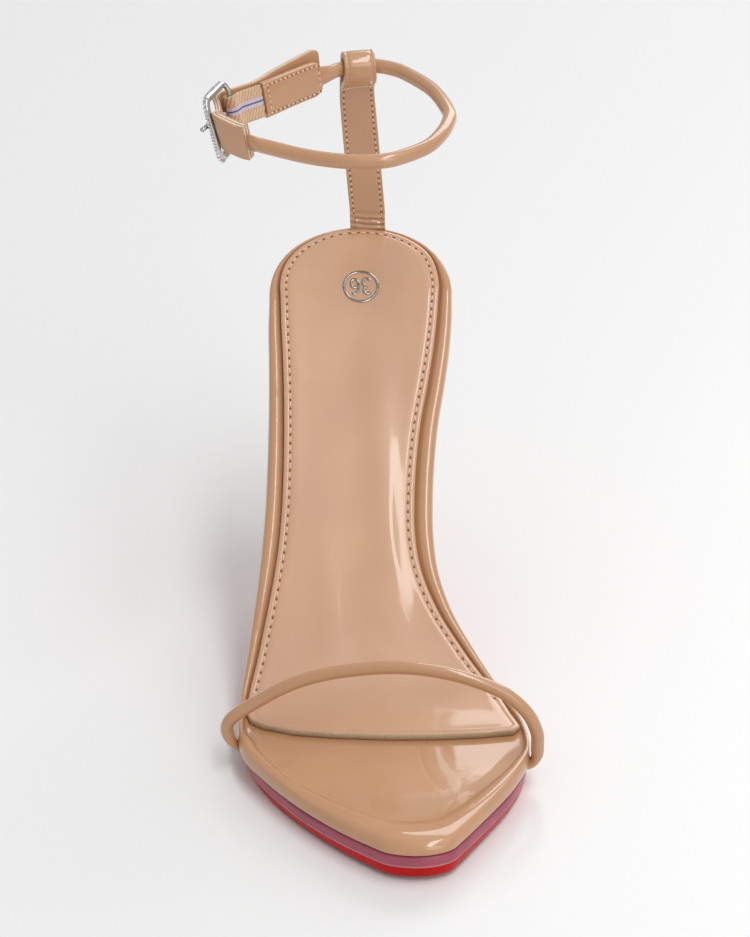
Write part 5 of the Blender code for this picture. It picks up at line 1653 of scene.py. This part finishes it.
def build_back_strap():
    path = spline(back_strap_path(), BACK_STRAP_STEP)
    ways = tangents(path)
    lengths = distances(path)
    foot = path[0].z
    total = lengths[-1]

    def width_at(length):
        point = path[min(range(len(path)), key=lambda i: abs(lengths[i] - length))]
        return back_strap_width(point)

    def thickness_at(length):
        whole = min(1.0, (total - length) / FLAP_SKIVE)
        return BACK_STRAP_THICKNESS * (FLAP_THINNEST + (1.0 - FLAP_THINNEST) * whole)

    def wrinkle(rings):
        for ring, point, way, length in zip(rings, path, ways, lengths):
            across, out = back_strap_axes(point, way)
            for vertex in ring:
                offset = (vertex - point).dot(across)
                if length < WRINKLES_END:
                    vertex -= out * back_strap_folds(vertex.z - foot, offset)
                elif total - length < FLAP_CURVE:
                    share = 1.0 - (total - length) / FLAP_CURVE
                    sag = (2.0 * offset / BACK_STRAP_LOOP_WIDTH) ** 2
                    vertex += way * share * (FLAP_SAG * sag - FLAP_SLANT * offset)
                elif length < total / 2.0:
                    ridge = bell(lengths_below_loop(point) - UNDER_LAYER, UNDER_LAYER_WIDTH)
                    if (vertex - point).dot(out) < 0.0:
                        vertex -= out * UNDER_LAYER_RISE * ridge

    shape = flat_strap(
        path, back_strap_axes, width_at, thickness_at, CUT_EDGE, STITCH_GROOVE, wrinkle
    )
    shape.faces.ensure_lookup_table()
    around = len(flat_section(BACK_STRAP_WIDTH, BACK_STRAP_THICKNESS, CUT_EDGE, 0.0)[0])
    last = (len(path) - 1) * around
    for face in shape.faces[last - FLAP_EDGE_STEPS * around:last]:
        face.material_index = 1
    finishes = ["patent", "split", "needle"]
    made = new_piece("back_strap_leather", shape, finishes, ["back_strap"])
    sharpen(made, STRAP_SHARPNESS)
    pitch = bpy.context.scene.sandal_sizes.strap_pitch
    riser_end = next(
        length for length, point in zip(lengths, path)
        if lengths_below_loop(point) < LOOP_STITCH_GAP
    )
    stitches = []
    for side in (-1.0, 1.0):
        stitches += strap_stitches(
            path, back_strap_axes, width_at, thickness_at, side, pitch,
            STRAP_STITCH_START, riser_end,
        )
    sew("back_strap_stitches", stitches, pitch)


def lengths_below_loop(point):
    """How far a point lies below the middle of the ankle cord."""
    return loop_centre().z - point.z


def build_patch():
    path = path_between(ring_path(), 0.0, PATCH_LENGTH, PATCH_STEP)
    total = distances(path)[-1]

    def height_at(length):
        return PATCH_HEIGHT * rounded_end((total - length) / PATCH_HEIGHT, *PATCH_END)

    def thickness_at(length):
        near = min(length, total - length)
        whole = min(1.0, near / PATCH_FOLD) ** 0.5
        return PATCH_THICKNESS * (PATCH_THINNEST + (1.0 - PATCH_THINNEST) * whole)

    shape = flat_strap(path, strap_axes, height_at, thickness_at, FOLDED_EDGE, STITCH_GROOVE)
    made = new_piece("strap_patch_leather", shape, ["patent"], ["strap_patch"])
    sharpen(made, STRAP_SHARPNESS)
    sizes = bpy.context.scene.sandal_sizes
    stitches = []
    for side in (-1.0, 1.0):
        stitches += strap_stitches(
            path, strap_axes, height_at, thickness_at, side, sizes.strap_pitch,
            PATCH_STITCH_ENDS[0], total - PATCH_STITCH_ENDS[1] - sizes.strap_pitch / 2.0,
        )
        for column in (PATCH_STITCH_ENDS[0], total - PATCH_STITCH_ENDS[1]):
            index = min(range(len(path)), key=lambda i: abs(distances(path)[i] - column))
            reach = side * (thickness_at(column) / 2.0 - STITCH_SINK)
            up, out = strap_axes(path[index], tangents(path)[index])
            free = height_at(column) / 2.0 - STRAP_STITCH_INSET
            count = max(1, round(2.0 * free / sizes.strap_pitch))
            for step in range(1, count):
                place = path[index] + up * free * (2.0 * step / count - 1.0) + out * reach
                stitches.append((place, up, out * side))
    sew("strap_patch_stitches", stitches, sizes.strap_pitch)


def build_elastic():
    path = spline(elastic_path(), ELASTIC_STEP)
    upward = buckle_axes()[2]
    pitch = ELASTIC_RIB_PITCH
    steps = ELASTIC_STEPS
    rings = []
    lengths = distances(path)
    for point, way, length in zip(path, tangents(path), lengths):
        out = way.cross(upward).normalized()
        up = out.cross(way).normalized()
        ring = []
        for i in range(steps + 1):
            share = 1.0 - 2.0 * i / steps
            high = share * ELASTIC_HEIGHT / 2.0
            fullness = (1.0 - abs(share)) * ELASTIC_EDGE_STEEPNESS + ELASTIC_EDGE_START
            thick = ELASTIC_THICKNESS / 2.0 * min(1.0, fullness ** 0.5)
            rib = ELASTIC_RIB_DEPTH * sin(tau * (length + ELASTIC_SLANT * high) / pitch)
            core = bell(high, ELASTIC_CORE_BLEND) ** 2
            ring.append((high, thick + rib * (1.0 - core)))
        ring += [(high, -wide) for high, wide in ring[::-1]]
        rings.append([point + up * high + out * wide for high, wide in ring])

    def finish(level, i):
        place = i if i <= steps else 2 * steps + 1 - i
        high = abs(1.0 - 2.0 * (place + 0.5) / steps) * ELASTIC_HEIGHT / 2.0
        if high < ELASTIC_LINE_HALF:
            return 2
        if high < ELASTIC_CORE_HALF:
            return 1
        side = high * (1.0 if place < steps / 2 else -1.0)
        wave = sin(tau * (lengths[level] + ELASTIC_SLANT * side) / pitch)
        # Faces low in the ribs' wave lie in the grooves and get the painted shade colour
        return 3 if wave < ELASTIC_GROOVE_BELOW else 0

    shape = skin(rings, finish=finish)
    finishes = ["webbing", "core", "dark_yarn", "painted_groove_shade"]
    new_piece("elastic_webbing", shape, finishes, ["elastic"])


def build_billet():
    path = spline(billet_path(), BILLET_STEP)
    total = distances(path)[-1]

    def height_at(length):
        return BILLET_HEIGHT * rounded_end((total - length) / BILLET_HEIGHT, *BILLET_END)

    def thickness_at(length):
        knots = (0.0, CORD_END_LENGTH, 2.0 * CORD_END_LENGTH)
        ends = (BILLET_END_THICKNESS, BILLET_END_THICKNESS, BILLET_THICKNESS)
        return smooth_value(knots, ends, length)

    shape = flat_strap(path, strap_axes, height_at, thickness_at, CUT_EDGE, 0.0)
    finishes = ["patent", "split", "needle"]
    made = new_piece("billet_tab", shape, finishes, ["billet"])
    sharpen(made, STRAP_SHARPNESS)


def build_buckle():
    rail = skin(buckle_rings(), closed=True)
    new_piece("buckle_frame_casting", rail, ["silver"], ["buckle_frame"])
    prong = skin(prong_rings())
    new_piece("buckle_prong_wire", prong, ["silver"], ["buckle_prong"])
    sizes = bpy.context.scene.sandal_sizes
    loop = [Vector((along, up, 0.0)) for along, up in buckle_loop()]
    loop.append(loop[0])
    total = distances(loop)[-1]
    count = round(total / sizes.stone_size)
    shape = bmesh.new()
    for step in range(count):
        place = path_between(loop, total * step / count, total * step / count + ROUNDING, MM)[0]
        if place.x < STONES_FROM:
            continue
        way = path_between(loop, total * step / count, total * step / count + MM, MM)[-1] - place
        aside = Vector((way.y, -way.x, 0.0)).normalized()
        size = sizes.stone_size * 0.5
        share = place.x / BUCKLE_LENGTH
        crown = BUCKLE_CROWN * 4.0 * share * (1.0 - share)
        for lane in range(2 * sizes.stone_rows + 1):
            angle = STONES_REACH * (lane / sizes.stone_rows - 1.0)
            spot = place + aside * sin(angle) * (BUCKLE_RAIL / 2.0 - STONE_SINK)
            reach = cos(angle) * (BUCKLE_THICKNESS / 2.0 - STONE_SINK)
            centre = buckle_place(spot.x, crown + reach, spot.y)
            ellipsoid(shape, centre, buckle_axes(), (size, size, size), STONE_SIDES, 0)
    stones = new_piece("buckle_pave_stones", shape, ["stone"])
    sharpen(stones, STONE_SHARPNESS)


# Camera, solved from the photo in the frame: its place and axes, the photo's focal length,
# middle and aim in its own pixels, and how much closer the render looks
CAMERA_PLACE = Vector((-33.2, -763.42, 494.6)) * MM
CAMERA_RIGHT = Vector((0.9945, -0.1045, 0.0))
CAMERA_AHEAD = Vector((0.0925, 0.8804, -0.4651))
PHOTO_FOCAL = 2136.74
PHOTO_MIDDLE = (372.5, 454.5)
PHOTO_AIM = (256.0, 457.0)
CLOSER = 1.45
FRAME_HEIGHT = 937.0
SENSOR = 36.0
CLIP_START = 0.05

FLOOR_HALF = 6.0
WORLD_STRENGTH = 0.50
# Lights: name, place, goal, width and length, and power
LIGHTS = (
    ("softbox_window", (1.5, 3.2, 2.1), (0.0, 0.0, 0.05), (2.6, 1.7), 40.0),
    ("softbox_right", (1.7, -0.3, 2.7), (0.0, 0.0, 0.05), (1.6, 2.0), 4.0),
    ("softbox_front", (1.4, -2.6, 1.8), (0.0, 0.0, 0.08), (2.0, 1.6), 20.0),
    ("softbox_strip", (0.9, -0.7, 3.3), (0.0, 0.0, 0.05), (0.60, 3.2), 46.0),
)


def build_stage():
    """Pale floor, soft lights and the camera at the photo's viewing angle."""
    shape = bmesh.new()
    bmesh.ops.create_grid(shape, x_segments=1, y_segments=1, size=FLOOR_HALF)
    mesh = bpy.data.meshes.new("studio_floor")
    shape.to_mesh(mesh)
    shape.free()
    mesh.materials.append(finish_named("floor"))
    floor = bpy.data.objects.new("studio_floor", mesh)
    bpy.context.scene.collection.objects.link(floor)

    right = CAMERA_RIGHT.normalized()
    ahead = (CAMERA_AHEAD - right * CAMERA_AHEAD.dot(right)).normalized()
    up = right.cross(ahead)
    across = (PHOTO_AIM[0] - PHOTO_MIDDLE[0]) / PHOTO_FOCAL
    down = (PHOTO_AIM[1] - PHOTO_MIDDLE[1]) / PHOTO_FOCAL
    aim = (ahead + right * across - up * down).normalized()
    level = (right - aim * right.dot(aim)).normalized()
    basis = Matrix((level, level.cross(aim), -aim)).transposed().to_4x4()
    camera = bpy.data.objects.new("camera", bpy.data.cameras.new("camera"))
    camera.data.sensor_width = SENSOR
    camera.data.lens = PHOTO_FOCAL * CLOSER * SENSOR / FRAME_HEIGHT
    camera.data.clip_start = CLIP_START
    camera.matrix_world = Matrix.Translation(CAMERA_PLACE) @ basis
    bpy.context.scene.collection.objects.link(camera)
    bpy.context.scene.camera = camera

    for name, place, goal, size, power in LIGHTS:
        lamp = bpy.data.lights.new(name, "AREA")
        lamp.shape = "RECTANGLE"
        lamp.size, lamp.size_y = size
        lamp.energy = power
        holder = bpy.data.objects.new(name, lamp)
        back = (Vector(place) - Vector(goal)).normalized()
        side = Vector((0.0, 1.0, 0.0)).cross(back).normalized()
        turn = Matrix((side, back.cross(side), back)).transposed().to_4x4()
        holder.matrix_world = Matrix.Translation(place) @ turn
        bpy.context.scene.collection.objects.link(holder)

    bpy.context.scene.view_settings.view_transform = "Standard"
    world = bpy.data.worlds.new("studio")
    bpy.context.scene.world = world
    world.use_nodes = True
    background = world.node_tree.nodes["Background"]
    background.inputs["Color"].default_value = (1.0, 1.0, 1.0, 1.0)
    background.inputs["Strength"].default_value = WORLD_STRENGTH


class SANDAL_OT_footbed(bpy.types.Operator):
    """Build the patent leather over the footbed, with its rolled rim"""

    bl_idname = "sandal.footbed"
    bl_label = "Footbed"
    bl_options = {"REGISTER", "UNDO"}

    def execute(self, context):
        build_footbed()
        return {"FINISHED"}


class SANDAL_OT_sock(bpy.types.Operator):
    """Build the stitched leather sock and its size number"""

    bl_idname = "sandal.sock"
    bl_label = "Insole sock"
    bl_options = {"REGISTER", "UNDO"}

    def execute(self, context):
        build_sock()
        build_number()
        return {"FINISHED"}


class SANDAL_OT_outsole(bpy.types.Operator):
    """Build the red lacquered sole under its polished edge band"""

    bl_idname = "sandal.outsole"
    bl_label = "Outsole"
    bl_options = {"REGISTER", "UNDO"}

    def execute(self, context):
        build_outsole()
        return {"FINISHED"}


class SANDAL_OT_heel(bpy.types.Operator):
    """Build the covered heel and its top piece"""

    bl_idname = "sandal.heel"
    bl_label = "Heel"
    bl_options = {"REGISTER", "UNDO"}

    def execute(self, context):
        build_heel()
        return {"FINISHED"}


class SANDAL_OT_toe_strap(bpy.types.Operator):
    """Build the round cord over the toes"""

    bl_idname = "sandal.toe_strap"
    bl_label = "Toe strap"
    bl_options = {"REGISTER", "UNDO"}

    def execute(self, context):
        build_cord("toe_strap_cord", "toe_strap", toe_cord_rings())
        return {"FINISHED"}


class SANDAL_OT_ankle_strap(bpy.types.Operator):
    """Build the round cord round the ankle"""

    bl_idname = "sandal.ankle_strap"
    bl_label = "Ankle strap"
    bl_options = {"REGISTER", "UNDO"}

    def execute(self, context):
        build_cord("ankle_strap_cord", "ankle_strap", ankle_cord_rings())
        return {"FINISHED"}


class SANDAL_OT_back_strap(bpy.types.Operator):
    """Build the stitched strap folded over the ankle cord"""

    bl_idname = "sandal.back_strap"
    bl_label = "Back strap"
    bl_options = {"REGISTER", "UNDO"}

    def execute(self, context):
        build_back_strap()
        return {"FINISHED"}


class SANDAL_OT_patch(bpy.types.Operator):
    """Build the stitched patch on the ankle strap's rear end"""

    bl_idname = "sandal.patch"
    bl_label = "Patch"
    bl_options = {"REGISTER", "UNDO"}

    def execute(self, context):
        build_patch()
        return {"FINISHED"}


class SANDAL_OT_elastic(bpy.types.Operator):
    """Build the ribbed webbing that carries the buckle"""

    bl_idname = "sandal.elastic"
    bl_label = "Elastic"
    bl_options = {"REGISTER", "UNDO"}

    def execute(self, context):
        build_elastic()
        return {"FINISHED"}


class SANDAL_OT_billet(bpy.types.Operator):
    """Build the two-layer tab that passes through the buckle"""

    bl_idname = "sandal.billet"
    bl_label = "Billet"
    bl_options = {"REGISTER", "UNDO"}

    def execute(self, context):
        build_billet()
        return {"FINISHED"}


class SANDAL_OT_buckle(bpy.types.Operator):
    """Build the plated frame with its stones and prong"""

    bl_idname = "sandal.buckle"
    bl_label = "Buckle"
    bl_options = {"REGISTER", "UNDO"}

    def execute(self, context):
        build_buckle()
        return {"FINISHED"}


class SANDAL_OT_stage(bpy.types.Operator):
    """Build the floor, the lights and the camera"""

    bl_idname = "sandal.stage"
    bl_label = "Stage"
    bl_options = {"REGISTER", "UNDO"}

    def execute(self, context):
        build_stage()
        return {"FINISHED"}


OPERATORS = (
    SANDAL_OT_footbed,
    SANDAL_OT_sock,
    SANDAL_OT_outsole,
    SANDAL_OT_heel,
    SANDAL_OT_toe_strap,
    SANDAL_OT_ankle_strap,
    SANDAL_OT_back_strap,
    SANDAL_OT_patch,
    SANDAL_OT_elastic,
    SANDAL_OT_billet,
    SANDAL_OT_buckle,
    SANDAL_OT_stage,
)


class SANDAL_PT_pieces(bpy.types.Panel):
    """Lists the sandal's pieces and their sizes and colours."""

    bl_label = "Sandal"
    bl_idname = "SANDAL_PT_pieces"
    bl_space_type = "VIEW_3D"
    bl_region_type = "UI"
    bl_category = "Sandal"

    def draw(self, context):
        for operator in OPERATORS:
            self.layout.operator(operator.bl_idname)
        for group in (context.scene.sandal_colours, context.scene.sandal_sizes):
            for name in group.__annotations__:
                self.layout.prop(group, name)


CLASSES = (SandalColours, SandalSizes, *OPERATORS, SANDAL_PT_pieces)


def register():
    for made in CLASSES:
        bpy.utils.register_class(made)
    bpy.types.Scene.sandal_colours = PointerProperty(type=SandalColours)
    bpy.types.Scene.sandal_sizes = PointerProperty(type=SandalSizes)


def unregister():
    del bpy.types.Scene.sandal_sizes
    del bpy.types.Scene.sandal_colours
    for made in reversed(CLASSES):
        bpy.utils.unregister_class(made)


def main():
    register()
    bpy.ops.sandal.footbed()
    bpy.ops.sandal.sock()
    bpy.ops.sandal.outsole()
    bpy.ops.sandal.heel()
    bpy.ops.sandal.toe_strap()
    bpy.ops.sandal.ankle_strap()
    bpy.ops.sandal.back_strap()
    bpy.ops.sandal.patch()
    bpy.ops.sandal.elastic()
    bpy.ops.sandal.billet()
    bpy.ops.sandal.buckle()
    bpy.ops.sandal.stage()


if __name__ == "__main__":
    main()
